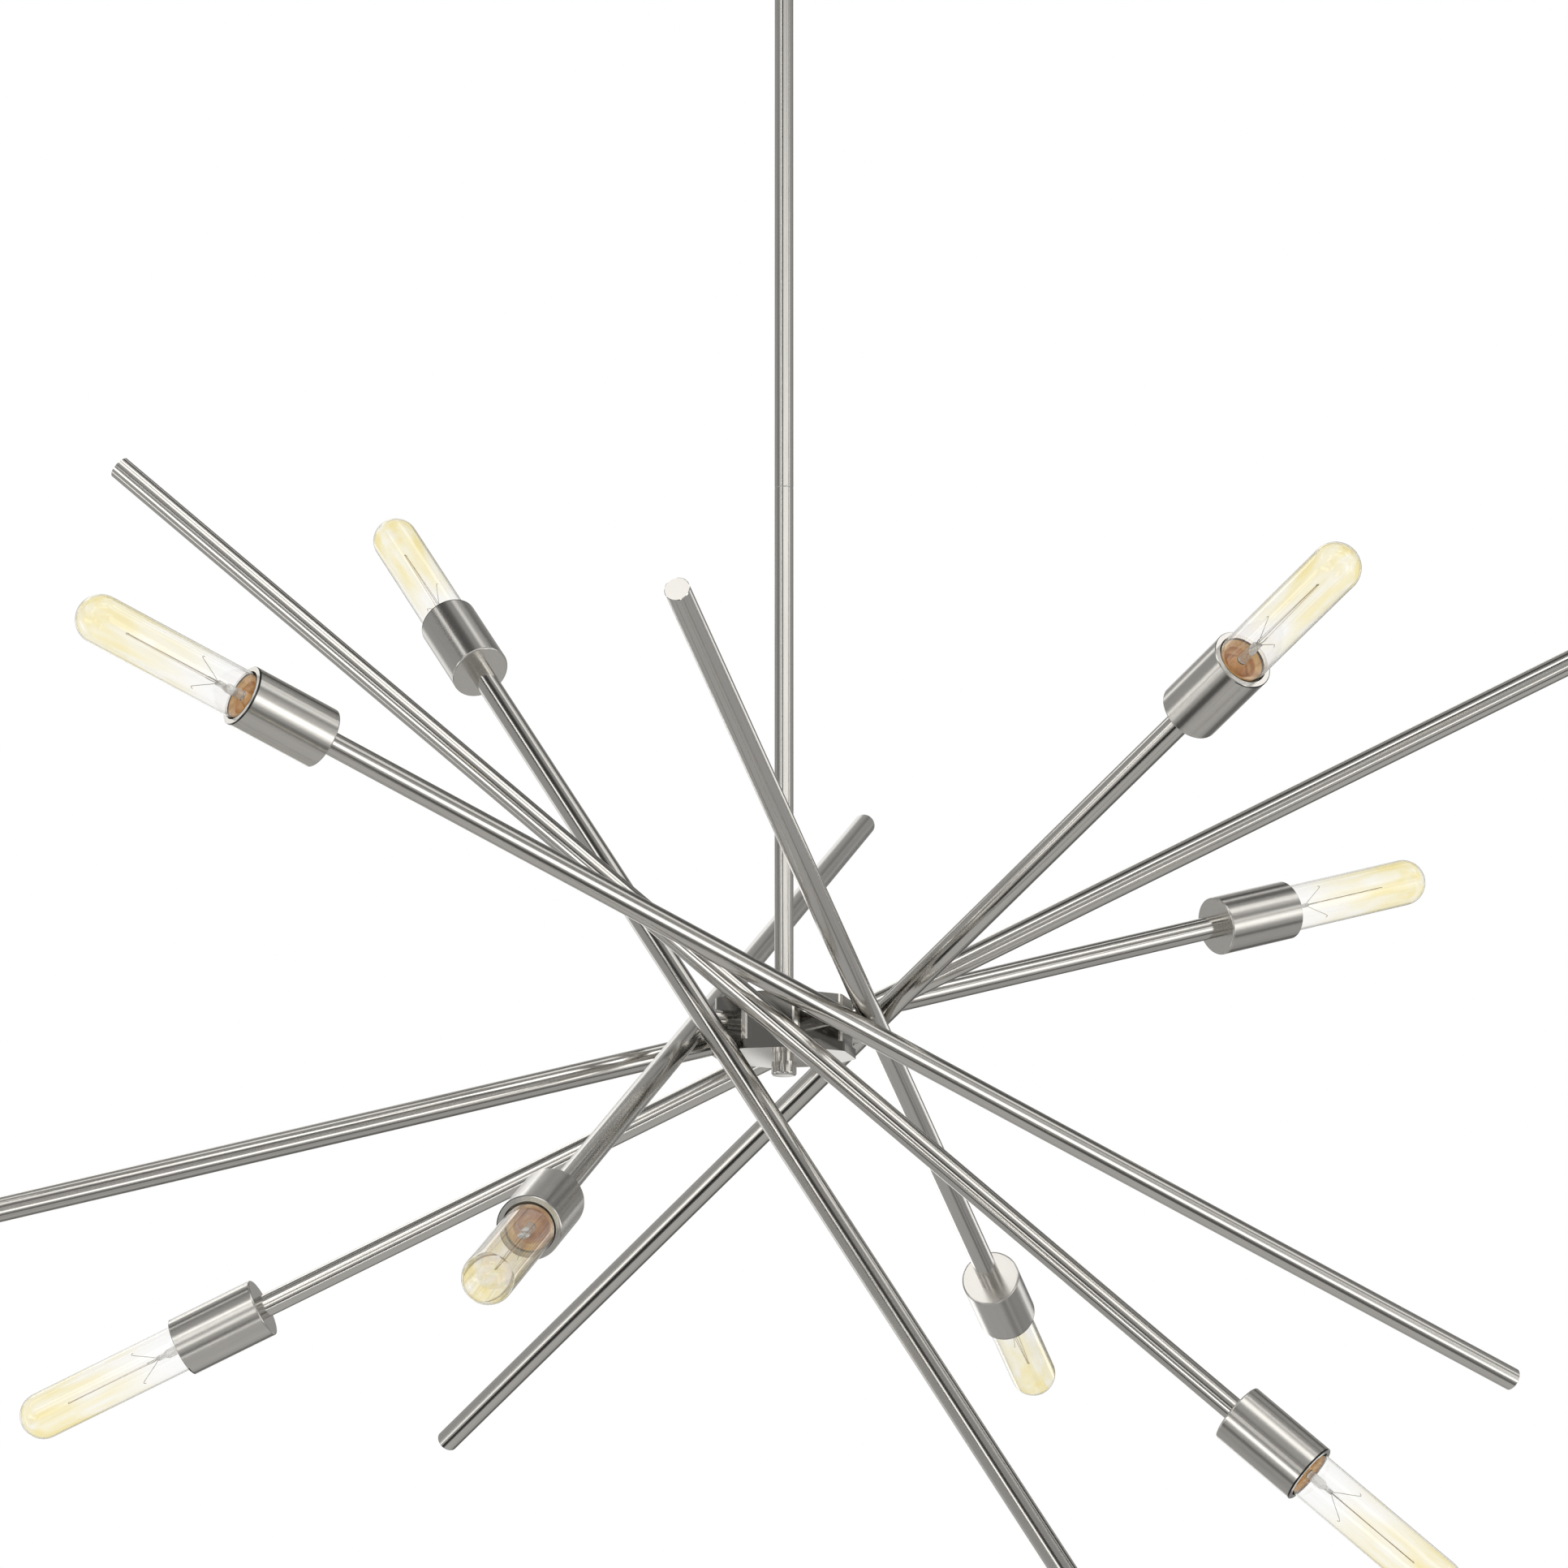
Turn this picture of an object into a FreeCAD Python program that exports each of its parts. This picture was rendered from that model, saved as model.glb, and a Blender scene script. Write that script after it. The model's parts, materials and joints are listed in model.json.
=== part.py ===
"""Sputnik chandelier: eight straight lamp arms cross an octagonal hub that hangs on a ceiling stem.

Millimetres, +Z up. The origin is on the stem axis in the plane of the ceiling, and everything hangs
below it. Arm 1 is pivoted on the hub wall that faces +X, and the arms are numbered counterclockwise
seen from above. Each arm turns on a hollow pivot that is square to its hub wall.
"""
import FreeCAD, Part
import math
import os
from FreeCAD import Placement, Vector

# Arms: how far below level the end that points counterclockwise lies, one angle for each arm.
# The lamp is on that lower end of the odd arms, and on the raised end of the even arms.
ARM_DROOPS = [17.2, 22.2, 24.4, 15.8, 23.4, 43.6, 41.0, 20.5]
ARM_DIAMETER = 15.88
ARM_WALL = 1.2
ARM_LAMP_REACH = 412.5  # from the pivot to the back of the lamp cup
ARM_PLAIN_REACH = 594.0  # from the pivot to the capped plain end
END_CAP_THICKNESS = 1.5
END_CAP_PLUG = 8.0
END_CAP_CHAMFER = 0.4
BUSH_LENGTH = 14.0  # threaded bush in the lamp end of the arm

# Pivot of an arm
PIVOT_BOSS_DIAMETER = 14.0
PIVOT_BOSS_LENGTH = 10.2  # from the hub wall to the nearest side of the arm
PIVOT_PLAY = 0.1  # between the hub wall and the faces that turn on it
PIVOT_DEPTH_IN_ARM = 4.0
PIVOT_THREAD_SPARE = 2.6  # thread left showing past the nut inside the hub

# Threaded hollow rod that joins the pieces, and its nuts
THREAD_DIAMETER = 9.8
THREAD_BORE = 6.5
THREAD_FIT = 0.05  # radial clearance round a thread or a shaft
NUT_ACROSS_FLATS = 14.0
NUT_THICKNESS = 4.0

# Bulb and the socket that holds it
BULB_DIAMETER = 31.2
BULB_REACH = 123.3  # from the mouth of the cup to the tip of the bulb
GLASS_WALL = 0.8
BULB_NECK_DIAMETER = 24.6
BULB_NECK_LENGTH = 8.0
GLASS_MOUNT_DIAMETER = 6.4
GLASS_MOUNT_REACH = 19.0  # the glass stem inside the bulb stands this far out of the cup
CAP_DIAMETER = 26.2
CAP_LENGTH = 27.0
CAP_WALL = 0.5
CAP_RECESS = 3.0  # from the mouth of the cup to the rim of the bulb's cap
CAP_CONTACT_DIAMETER = 9.5
CAP_CONTACT_LENGTH = 3.0
SHELL_WALL = 0.5
SHELL_LENGTH = 22.0
CONTACT_THICKNESS = 1.2
SOCKET_FLANGE_RECESS = 5.0  # from the mouth of the cup to the front of the socket

# Lamp cup
BULB_CLEARANCE = 1.3  # between the bulb and the bore of the cup
CUP_WALL = 3.55
CUP_LENGTH = 62.4
CUP_FLOOR = 4.0
CUP_BACK_FILLET = 1.2
CUP_LIP_CHAMFER = 0.5
SOCKET_CLEARANCE = 0.4

# Hub
HUB_ACROSS_FLATS = 86.4
HUB_WALL = 1.6
HUB_TOP_THICKNESS = 2.0
HUB_ABOVE_PIVOTS = 17.5
HUB_BELOW_PIVOTS = 20.8  # down to the underside of the bottom pan
HUB_CORNER_BEVEL = 2.4  # width of the narrow upright face at each corner
PAN_THICKNESS = 1.6
PAN_RIM_HEIGHT = 6.5
PAN_RIM_WALL = 1.6
PAN_FIT = 0.2

# Finial under the hub
FINIAL_DIAMETER = 16.8
FINIAL_HEIGHT = 9.0
FINIAL_FILLET = 1.8
FINIAL_NECK_DIAMETER = 12.4
FINIAL_NECK_HEIGHT = 3.4
FINIAL_FLOOR = 2.5

# Stem
STEM_DIAMETER = 12.7
STEM_SECTION_LENGTH = 348.5
STEM_BORE_PLAY = 0.25  # radial, between the stem and the threaded rod inside it
COUPLING_RING_THICKNESS = 0.8
COUPLING_RING_INSET = 0.2  # the ring at the joint lies this much inside the stem's surface
COUPLING_REACH = 20.0  # how far a threaded rod runs into a stem section

# Ceiling fittings
CANOPY_DIAMETER = 128.0
CANOPY_DEPTH = 26.0
CANOPY_WALL = 1.2
CANOPY_FILLET = 6.0
COLLAR_DIAMETER = 22.0
COLLAR_HEIGHT = 14.0
COLLAR_CHAMFER = 1.5
STRAP_LENGTH = 104.0
STRAP_WIDTH = 20.0
STRAP_THICKNESS = 2.5
BOX_SCREW_SPACING = 88.9
BOX_SCREW_HOLE = 4.6
GROUND_SCREW_OFFSET = 26.0
GROUND_SCREW_DIAMETER = 4.0
GROUND_SCREW_HEAD_DIAMETER = 7.2
GROUND_SCREW_HEAD_HEIGHT = 2.4

# Sizes that follow
ARM_COUNT = len(ARM_DROOPS)
STEP_ANGLE = 360.0 / ARM_COUNT
THREAD_RADIUS = THREAD_DIAMETER / 2
THREAD_HOLE_RADIUS = THREAD_RADIUS + THREAD_FIT
ARM_RADIUS = ARM_DIAMETER / 2
ARM_BORE_RADIUS = ARM_RADIUS - ARM_WALL
HUB_INRADIUS = HUB_ACROSS_FLATS / 2
ARM_OFFSET = HUB_INRADIUS + PIVOT_PLAY + PIVOT_BOSS_LENGTH + ARM_RADIUS
CUP_BORE_RADIUS = BULB_DIAMETER / 2 + BULB_CLEARANCE
CUP_RADIUS = CUP_BORE_RADIUS + CUP_WALL
CUP_BACK = ARM_LAMP_REACH
CUP_FLOOR_FACE = CUP_BACK + CUP_FLOOR
CUP_MOUTH = CUP_BACK + CUP_LENGTH
CAP_RIM = CUP_MOUTH - CAP_RECESS
CAP_BOTTOM = CAP_RIM - CAP_LENGTH
CAP_SHOULDER = CAP_BOTTOM + CAP_CONTACT_LENGTH
COLLAR_BOTTOM = -CANOPY_DEPTH - COLLAR_HEIGHT
STEM_JOINT = COLLAR_BOTTOM - STEM_SECTION_LENGTH
HUB_TOP = STEM_JOINT - COUPLING_RING_THICKNESS - STEM_SECTION_LENGTH
PIVOT_Z = HUB_TOP - HUB_ABOVE_PIVOTS
HUB_BOTTOM = PIVOT_Z - HUB_BELOW_PIVOTS
STEM_BORE_RADIUS = THREAD_RADIUS + STEM_BORE_PLAY


def cylinder(radius, low, high):
    """A solid cylinder on the Z axis from low to high."""
    return Part.makeCylinder(radius, high - low, Vector(0, 0, low))


def pipe(outer, inner, low, high):
    """A cylinder on the Z axis with a bore right through."""
    return cylinder(outer, low, high).cut(cylinder(inner, low, high))


def cone(low_radius, high_radius, low, high):
    """A solid cone frustum on the Z axis."""
    return Part.makeCone(low_radius, high_radius, high - low, Vector(0, 0, low))


def radial_cylinder(radius, start, end):
    """A solid cylinder along the X axis from start to end."""
    return Part.makeCylinder(radius, end - start, Vector(start, 0, 0), Vector(1, 0, 0))


def prism(sides, inradius, low, high, turn=0.0):
    """An upright prism with regular sides, the first one facing the angle turn in degrees."""
    corner_radius = inradius / math.cos(math.pi / sides)
    corners = []
    for index in range(sides + 1):
        angle = math.radians(turn + (index - 0.5) * 360.0 / sides)
        corners.append(Vector(corner_radius * math.cos(angle), corner_radius * math.sin(angle), low))
    return Part.Face(Part.makePolygon(corners)).extrude(Vector(0, 0, high - low))


def bevelled_prism(inradius, low, high):
    """The hub's outline as an upright prism, with a narrow face in place of each corner."""
    corner_radius = inradius / math.cos(math.pi / ARM_COUNT)
    cut_depth = HUB_CORNER_BEVEL / 2 * math.tan(math.pi / ARM_COUNT)
    plain = prism(ARM_COUNT, inradius, low, high)
    turned = prism(ARM_COUNT, corner_radius - cut_depth, low, high, STEP_ANGLE / 2)
    return plain.common(turned)


def hex_nut(low):
    """A plain nut on the Z axis with its lower face at low."""
    body = prism(6, NUT_ACROSS_FLATS / 2, low, low + NUT_THICKNESS)
    return body.cut(cylinder(THREAD_HOLE_RADIUS, low, low + NUT_THICKNESS))


def edges_at(shape, radius, height):
    """The round edges of a turned shape that have this radius and lie at this height."""
    found = []
    for edge in shape.Edges:
        curve = edge.Curve
        if isinstance(curve, Part.Circle) and abs(curve.Radius - radius) < 0.01:
            if abs(curve.Center.z - height) < 0.01:
                found.append(edge)
    return found


def arm_placement(index):
    """Puts a piece made in the arm's own frame in its place.

    In that frame Z runs along the arm to the lamp, X points away from the stem, and the origin is
    where the pivot's axis meets the arm's axis.
    """
    azimuth = math.radians(index * STEP_ANGLE)
    droop = math.radians(ARM_DROOPS[index])
    lamp_side = 1 if index % 2 == 0 else -1
    outward = Vector(math.cos(azimuth), math.sin(azimuth), 0)
    sideways = Vector(-math.sin(azimuth), math.cos(azimuth), 0)
    along = (sideways * math.cos(droop) - Vector(0, 0, math.sin(droop))) * lamp_side
    across = along.cross(outward)
    pivot = outward * ARM_OFFSET + Vector(0, 0, PIVOT_Z)
    matrix = FreeCAD.Matrix(
        outward.x, across.x, along.x, pivot.x,
        outward.y, across.y, along.y, pivot.y,
        outward.z, across.z, along.z, pivot.z,
        0, 0, 0, 1)
    return Placement(matrix)


def arm_tube():
    """The straight tube of an arm, with the hole where the pivot enters it."""
    low = -ARM_PLAIN_REACH + END_CAP_THICKNESS
    tube = pipe(ARM_RADIUS, ARM_BORE_RADIUS, low, CUP_BACK)
    return tube.cut(radial_cylinder(THREAD_HOLE_RADIUS, -ARM_DIAMETER, 0))


def end_cap():
    """The flat cap pressed into the plain end."""
    end = -ARM_PLAIN_REACH
    disc = cylinder(ARM_RADIUS, end, end + END_CAP_THICKNESS)
    disc = disc.makeChamfer(END_CAP_CHAMFER, edges_at(disc, ARM_RADIUS, end))
    plug_end = end + END_CAP_THICKNESS + END_CAP_PLUG
    return disc.fuse(cylinder(ARM_BORE_RADIUS - THREAD_FIT, end, plug_end)).removeSplitter()


def lamp_bush():
    """The threaded bush in the lamp end of the tube."""
    return pipe(ARM_BORE_RADIUS - THREAD_FIT, THREAD_HOLE_RADIUS, CUP_BACK - BUSH_LENGTH, CUP_BACK)


def lamp_thread():
    """The hollow thread that holds the cup and the socket on the arm."""
    return pipe(THREAD_RADIUS, THREAD_BORE / 2, CUP_BACK - BUSH_LENGTH, CUP_FLOOR_FACE + NUT_THICKNESS)


def pivot_boss():
    """The round boss between hub and arm, hollowed at its outer end to sit on the tube."""
    start = -ARM_RADIUS - PIVOT_BOSS_LENGTH
    boss = radial_cylinder(PIVOT_BOSS_DIAMETER / 2, start, 0)
    boss = boss.cut(radial_cylinder(THREAD_HOLE_RADIUS, start, 0))
    return boss.cut(cylinder(ARM_RADIUS, -ARM_DIAMETER, ARM_DIAMETER))


def pivot_nut_face():
    """Where the pivot's nut meets the inner face of the hub wall, in the arm's frame."""
    return HUB_INRADIUS - HUB_WALL - PIVOT_PLAY - ARM_OFFSET


def pivot_thread():
    """The hollow pivot from inside the hub, through its wall and the boss, into the tube."""
    start = pivot_nut_face() - NUT_THICKNESS - PIVOT_THREAD_SPARE
    end = -ARM_RADIUS + PIVOT_DEPTH_IN_ARM
    outer = radial_cylinder(THREAD_RADIUS, start, end)
    return outer.cut(radial_cylinder(THREAD_BORE / 2, start, end))


def pivot_nut():
    """The nut that holds the pivot inside the hub."""
    nut = hex_nut(0)
    nut.Placement = Placement(Vector(pivot_nut_face(), 0, 0), FreeCAD.Rotation(Vector(0, 1, 0), -90))
    return nut


def arm_fittings():
    """The small metal pieces that turn with an arm, as separate solids."""
    return Part.makeCompound(
        [end_cap(), lamp_bush(), lamp_thread(), pivot_boss(), pivot_thread(), pivot_nut()])


def lamp_cup():
    """The thick-walled round cup round the socket, open at the mouth."""
    cup = cylinder(CUP_RADIUS, CUP_BACK, CUP_MOUTH)
    cup = cup.makeFillet(CUP_BACK_FILLET, edges_at(cup, CUP_RADIUS, CUP_BACK))
    cup = cup.makeChamfer(CUP_LIP_CHAMFER, edges_at(cup, CUP_RADIUS, CUP_MOUTH))
    cup = cup.cut(cylinder(CUP_BORE_RADIUS, CUP_FLOOR_FACE, CUP_MOUTH))
    return cup.cut(cylinder(THREAD_HOLE_RADIUS, CUP_BACK, CUP_FLOOR_FACE))


def lamp_socket():
    """The socket: an insulating body, the screw shell in its bore and the contact at the bottom."""
    front = CUP_MOUTH - SOCKET_FLANGE_RECESS
    shell_inner = CAP_DIAMETER / 2 + THREAD_FIT
    shell_outer = shell_inner + SHELL_WALL
    bore = shell_outer + THREAD_FIT
    seat = CAP_BOTTOM - CONTACT_THICKNESS
    body = cylinder(CUP_BORE_RADIUS - SOCKET_CLEARANCE, CUP_FLOOR_FACE, front)
    body = body.cut(cylinder(bore, seat, front))
    body = body.cut(cylinder(THREAD_HOLE_RADIUS, CUP_FLOOR_FACE, seat))
    shell = pipe(shell_outer, shell_inner, front - SHELL_LENGTH, front)
    contact = cylinder(bore - THREAD_FIT, seat, CAP_BOTTOM)
    return Part.makeCompound([body, shell, contact])


def bulb_cap():
    """The bulb's screw cap, a shell that is open towards the glass, with its end contact."""
    radius = CAP_DIAMETER / 2
    outer = cylinder(radius, CAP_SHOULDER, CAP_RIM)
    inner = cylinder(radius - CAP_WALL, CAP_SHOULDER + CAP_WALL, CAP_RIM)
    contact = cylinder(CAP_CONTACT_DIAMETER / 2, CAP_BOTTOM, CAP_SHOULDER)
    return outer.cut(inner).fuse(contact).removeSplitter()


def glass_body(inset):
    """The bulb's outline as a solid, drawn in by inset: neck, shoulder, tube and round tip."""
    radius = BULB_DIAMETER / 2 - inset
    neck = BULB_NECK_DIAMETER / 2 - inset
    shoulder = CUP_MOUTH - SOCKET_CLEARANCE
    tip_centre = CUP_MOUTH + BULB_REACH - BULB_DIAMETER / 2
    body = cylinder(neck, CAP_RIM - BULB_NECK_LENGTH, CAP_RIM)
    body = body.fuse(cone(neck, radius, CAP_RIM, shoulder))
    body = body.fuse(cylinder(radius, shoulder, tip_centre))
    return body.fuse(Part.makeSphere(radius, Vector(0, 0, tip_centre))).removeSplitter()


def bulb_glass():
    """The clear tubular glass, and the glass mount sealed into its neck."""
    envelope = glass_body(0).cut(glass_body(GLASS_WALL))
    low = CAP_RIM - BULB_NECK_LENGTH
    inner_neck = BULB_NECK_DIAMETER / 2 - GLASS_WALL
    mount_radius = GLASS_MOUNT_DIAMETER / 2
    mount_top = CUP_MOUTH + GLASS_MOUNT_REACH
    disc = cylinder(inner_neck, low, low + GLASS_WALL)
    flare = cone(inner_neck, mount_radius, low + GLASS_WALL, CAP_RIM)
    mount = disc.fuse([flare, cylinder(mount_radius, CAP_RIM, mount_top - mount_radius)])
    mount = mount.fuse(Part.makeSphere(mount_radius, Vector(0, 0, mount_top - mount_radius)))
    return envelope.fuse(mount).removeSplitter()


def hub_shell():
    """The hub's top and walls, with a pivot hole in each wall."""
    low = HUB_BOTTOM + PAN_THICKNESS
    shell = bevelled_prism(HUB_INRADIUS, low, HUB_TOP)
    shell = shell.cut(prism(ARM_COUNT, HUB_INRADIUS - HUB_WALL, low, HUB_TOP - HUB_TOP_THICKNESS))
    shell = shell.cut(cylinder(THREAD_HOLE_RADIUS, low, HUB_TOP))
    for index in range(ARM_COUNT):
        hole = radial_cylinder(THREAD_HOLE_RADIUS, HUB_INRADIUS / 2, HUB_ACROSS_FLATS)
        hole.rotate(Vector(0, 0, 0), Vector(0, 0, 1), index * STEP_ANGLE)
        hole.translate(Vector(0, 0, PIVOT_Z))
        shell = shell.cut(hole)
    return shell


def hub_pan():
    """The shallow pan that closes the hub from below, its rim outside the walls."""
    inner = HUB_INRADIUS + PAN_FIT
    floor = HUB_BOTTOM + PAN_THICKNESS
    pan = bevelled_prism(inner + PAN_RIM_WALL, HUB_BOTTOM, HUB_BOTTOM + PAN_RIM_HEIGHT)
    pan = pan.cut(prism(ARM_COUNT, inner, floor, HUB_BOTTOM + PAN_RIM_HEIGHT))
    return pan.cut(cylinder(THREAD_HOLE_RADIUS, HUB_BOTTOM, floor))


def finial_bottom():
    """The height of the finial's lower face."""
    return HUB_BOTTOM - FINIAL_NECK_HEIGHT - FINIAL_HEIGHT


def finial():
    """The round finial nut that holds the pan up."""
    low = finial_bottom()
    radius = FINIAL_DIAMETER / 2
    knob = cylinder(radius, low, low + FINIAL_HEIGHT)
    knob = knob.makeFillet(FINIAL_FILLET, edges_at(knob, radius, low))
    knob = knob.fuse(cylinder(FINIAL_NECK_DIAMETER / 2, low + FINIAL_HEIGHT, HUB_BOTTOM))
    return knob.removeSplitter().cut(cylinder(THREAD_HOLE_RADIUS, low + FINIAL_FLOOR, HUB_BOTTOM))


def hub_thread():
    """The hollow thread from the stem down through the hub to the finial."""
    low = finial_bottom() + FINIAL_FLOOR
    return pipe(THREAD_RADIUS, THREAD_BORE / 2, low, HUB_TOP + COUPLING_REACH)


def hub_nuts():
    """The nuts on the hub's thread, under the top and on the pan."""
    under_top = hex_nut(HUB_TOP - HUB_TOP_THICKNESS - NUT_THICKNESS)
    return Part.makeCompound([under_top, hex_nut(HUB_BOTTOM + PAN_THICKNESS)])


def stem_tube(low):
    """One section of the stem."""
    return pipe(STEM_DIAMETER / 2, STEM_BORE_RADIUS, low, low + STEM_SECTION_LENGTH)


def stem_threads():
    """The hollow threads at the ceiling and at the joint, the second with a thin ring between sections."""
    upper = pipe(THREAD_RADIUS, THREAD_BORE / 2, COLLAR_BOTTOM - COUPLING_REACH, 0)
    ring_low = STEM_JOINT - COUPLING_RING_THICKNESS
    joint = cylinder(THREAD_RADIUS, ring_low - COUPLING_REACH, STEM_JOINT + COUPLING_REACH)
    joint = joint.fuse(cylinder(STEM_DIAMETER / 2 - COUPLING_RING_INSET, ring_low, STEM_JOINT))
    bore = cylinder(THREAD_BORE / 2, ring_low - COUPLING_REACH, STEM_JOINT + COUPLING_REACH)
    return Part.makeCompound([upper, joint.cut(bore)])


def canopy():
    """The round cover against the ceiling, open at the top."""
    radius = CANOPY_DIAMETER / 2
    outer = cylinder(radius, -CANOPY_DEPTH, 0)
    outer = outer.makeFillet(CANOPY_FILLET, edges_at(outer, radius, -CANOPY_DEPTH))
    floor = -CANOPY_DEPTH + CANOPY_WALL
    inner = cylinder(radius - CANOPY_WALL, floor, 0)
    inner = inner.makeFillet(CANOPY_FILLET - CANOPY_WALL, edges_at(inner, radius - CANOPY_WALL, floor))
    return outer.cut(inner).cut(cylinder(THREAD_HOLE_RADIUS, -CANOPY_DEPTH, floor))


def canopy_collar():
    """The threaded collar that holds the canopy up, with the stem butted under it."""
    radius = COLLAR_DIAMETER / 2
    collar = cylinder(radius, COLLAR_BOTTOM, -CANOPY_DEPTH)
    collar = collar.makeChamfer(COLLAR_CHAMFER, edges_at(collar, radius, COLLAR_BOTTOM))
    return collar.cut(cylinder(THREAD_HOLE_RADIUS, COLLAR_BOTTOM, -CANOPY_DEPTH))


def ceiling_strap():
    """The flat bar that is screwed to the ceiling box and carries the stem's thread."""
    strap = Part.makeBox(STRAP_LENGTH, STRAP_WIDTH, STRAP_THICKNESS,
                         Vector(-STRAP_LENGTH / 2, -STRAP_WIDTH / 2, -STRAP_THICKNESS))
    strap = strap.cut(cylinder(THREAD_HOLE_RADIUS, -STRAP_THICKNESS, 0))
    ground_hole = cylinder(GROUND_SCREW_DIAMETER / 2 + THREAD_FIT, -STRAP_THICKNESS, 0)
    ground_hole.translate(Vector(GROUND_SCREW_OFFSET, 0, 0))
    strap = strap.cut(ground_hole)
    for side in (-1, 1):
        hole = cylinder(BOX_SCREW_HOLE / 2, -STRAP_THICKNESS, 0)
        hole.translate(Vector(side * BOX_SCREW_SPACING / 2, 0, 0))
        strap = strap.cut(hole)
    return strap


def strap_fasteners():
    """The nut under the strap and the grounding screw beside it."""
    under = -STRAP_THICKNESS
    screw = cylinder(GROUND_SCREW_DIAMETER / 2, under, 0)
    screw = screw.fuse(cylinder(GROUND_SCREW_HEAD_DIAMETER / 2, under - GROUND_SCREW_HEAD_HEIGHT, under))
    screw = screw.removeSplitter()
    screw.translate(Vector(GROUND_SCREW_OFFSET, 0, 0))
    return Part.makeCompound([hex_nut(under - NUT_THICKNESS), screw])


def save(shape, name):
    """Writes one sub-part, and stops if it isn't whole."""
    if not shape.isValid() or not shape.Solids:
        raise ValueError(name + " is not a valid solid")
    shape.exportStep(os.path.join("parts", name + ".step"))


def build():
    """Makes every sub-part and writes it."""
    os.makedirs("parts", exist_ok=True)
    save(ceiling_strap(), "ceiling_strap")
    save(strap_fasteners(), "strap_fasteners")
    save(canopy(), "canopy")
    save(canopy_collar(), "canopy_collar")
    save(stem_threads(), "stem_threads")
    save(stem_tube(STEM_JOINT), "stem_tube_upper")
    save(stem_tube(HUB_TOP), "stem_tube_lower")
    save(hub_shell(), "hub_shell")
    save(hub_thread(), "hub_thread")
    save(hub_nuts(), "hub_nuts")
    save(hub_pan(), "hub_pan")
    save(finial(), "finial")
    arm_pieces = {
        "tube": arm_tube(),
        "fittings": arm_fittings(),
        "cup": lamp_cup(),
        "socket": lamp_socket(),
        "bulb_cap": bulb_cap(),
        "bulb_glass": bulb_glass(),
    }
    for index in range(ARM_COUNT):
        placement = arm_placement(index)
        for piece_name, piece in arm_pieces.items():
            placed = piece.copy()
            placed.Placement = placement.multiply(placed.Placement)
            save(placed, "arm_%d_%s" % (index + 1, piece_name))


build()
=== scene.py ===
"""Dresses the sputnik chandelier: metal finishes, threaded sockets and caps, clear amber bulbs.

Metres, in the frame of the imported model, which stays as it is. Each lamp's own pieces are worked out
in its arm's frame: the origin is on the pivot, Z runs along the arm to the lamp, and X points away
from the stem.
"""
import json
import math
from collections import namedtuple

import bpy
import numpy as np
from bpy.props import FloatProperty, FloatVectorProperty, PointerProperty
from bpy.types import Operator, Panel, PropertyGroup
from mathutils import Euler, Matrix, Vector


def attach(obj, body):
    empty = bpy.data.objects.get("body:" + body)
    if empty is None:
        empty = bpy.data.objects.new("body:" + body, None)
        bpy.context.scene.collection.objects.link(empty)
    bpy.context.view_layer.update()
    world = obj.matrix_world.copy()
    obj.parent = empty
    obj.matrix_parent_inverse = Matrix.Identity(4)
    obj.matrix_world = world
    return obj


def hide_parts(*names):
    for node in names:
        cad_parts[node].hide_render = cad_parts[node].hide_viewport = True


bl_info = {
    "name": "Sputnik Chandelier",
    "version": (1, 0, 0),
    "blender": (4, 5, 0),
    "location": "View3D > Sidebar > Chandelier",
    "description": "Finishes, bulbs and sockets of an eight-armed hanging light, and its studio",
    "category": "Object",
}

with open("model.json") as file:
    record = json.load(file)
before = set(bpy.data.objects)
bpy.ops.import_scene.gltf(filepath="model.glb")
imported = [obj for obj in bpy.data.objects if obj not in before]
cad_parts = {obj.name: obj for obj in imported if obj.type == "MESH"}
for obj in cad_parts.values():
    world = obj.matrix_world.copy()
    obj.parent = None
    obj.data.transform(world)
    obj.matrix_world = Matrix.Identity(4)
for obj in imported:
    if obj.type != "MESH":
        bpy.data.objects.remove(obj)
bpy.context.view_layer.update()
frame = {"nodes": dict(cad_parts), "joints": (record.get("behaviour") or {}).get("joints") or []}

MM = 0.001
ARM_COUNT = len(frame["joints"])
ROUND_STEPS = 96
WIRE_SIDES = 10

Lamp = namedtuple("Lamp", "number body place turn cup_back mouth cup_radius tip bulb_radius "
                          "cap_rim cap_bottom cap_radius socket_front socket_back socket_radius")


# ---------------------------------------------------------------- where the lamps are

def vertices_of(node):
    """The points of a CAD node as an array of rows."""
    mesh = frame["nodes"][node].data
    points = np.empty(len(mesh.vertices) * 3, np.float32)
    mesh.vertices.foreach_get("co", points)
    return points.reshape(-1, 3).astype(float)


def reach(node, place, turn):
    """Lowest height, highest height and largest radius of a CAD node about its arm's Z axis."""
    local = (vertices_of(node) - place) @ turn
    return local[:, 2].min(), local[:, 2].max(), np.hypot(local[:, 0], local[:, 1]).max()


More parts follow.
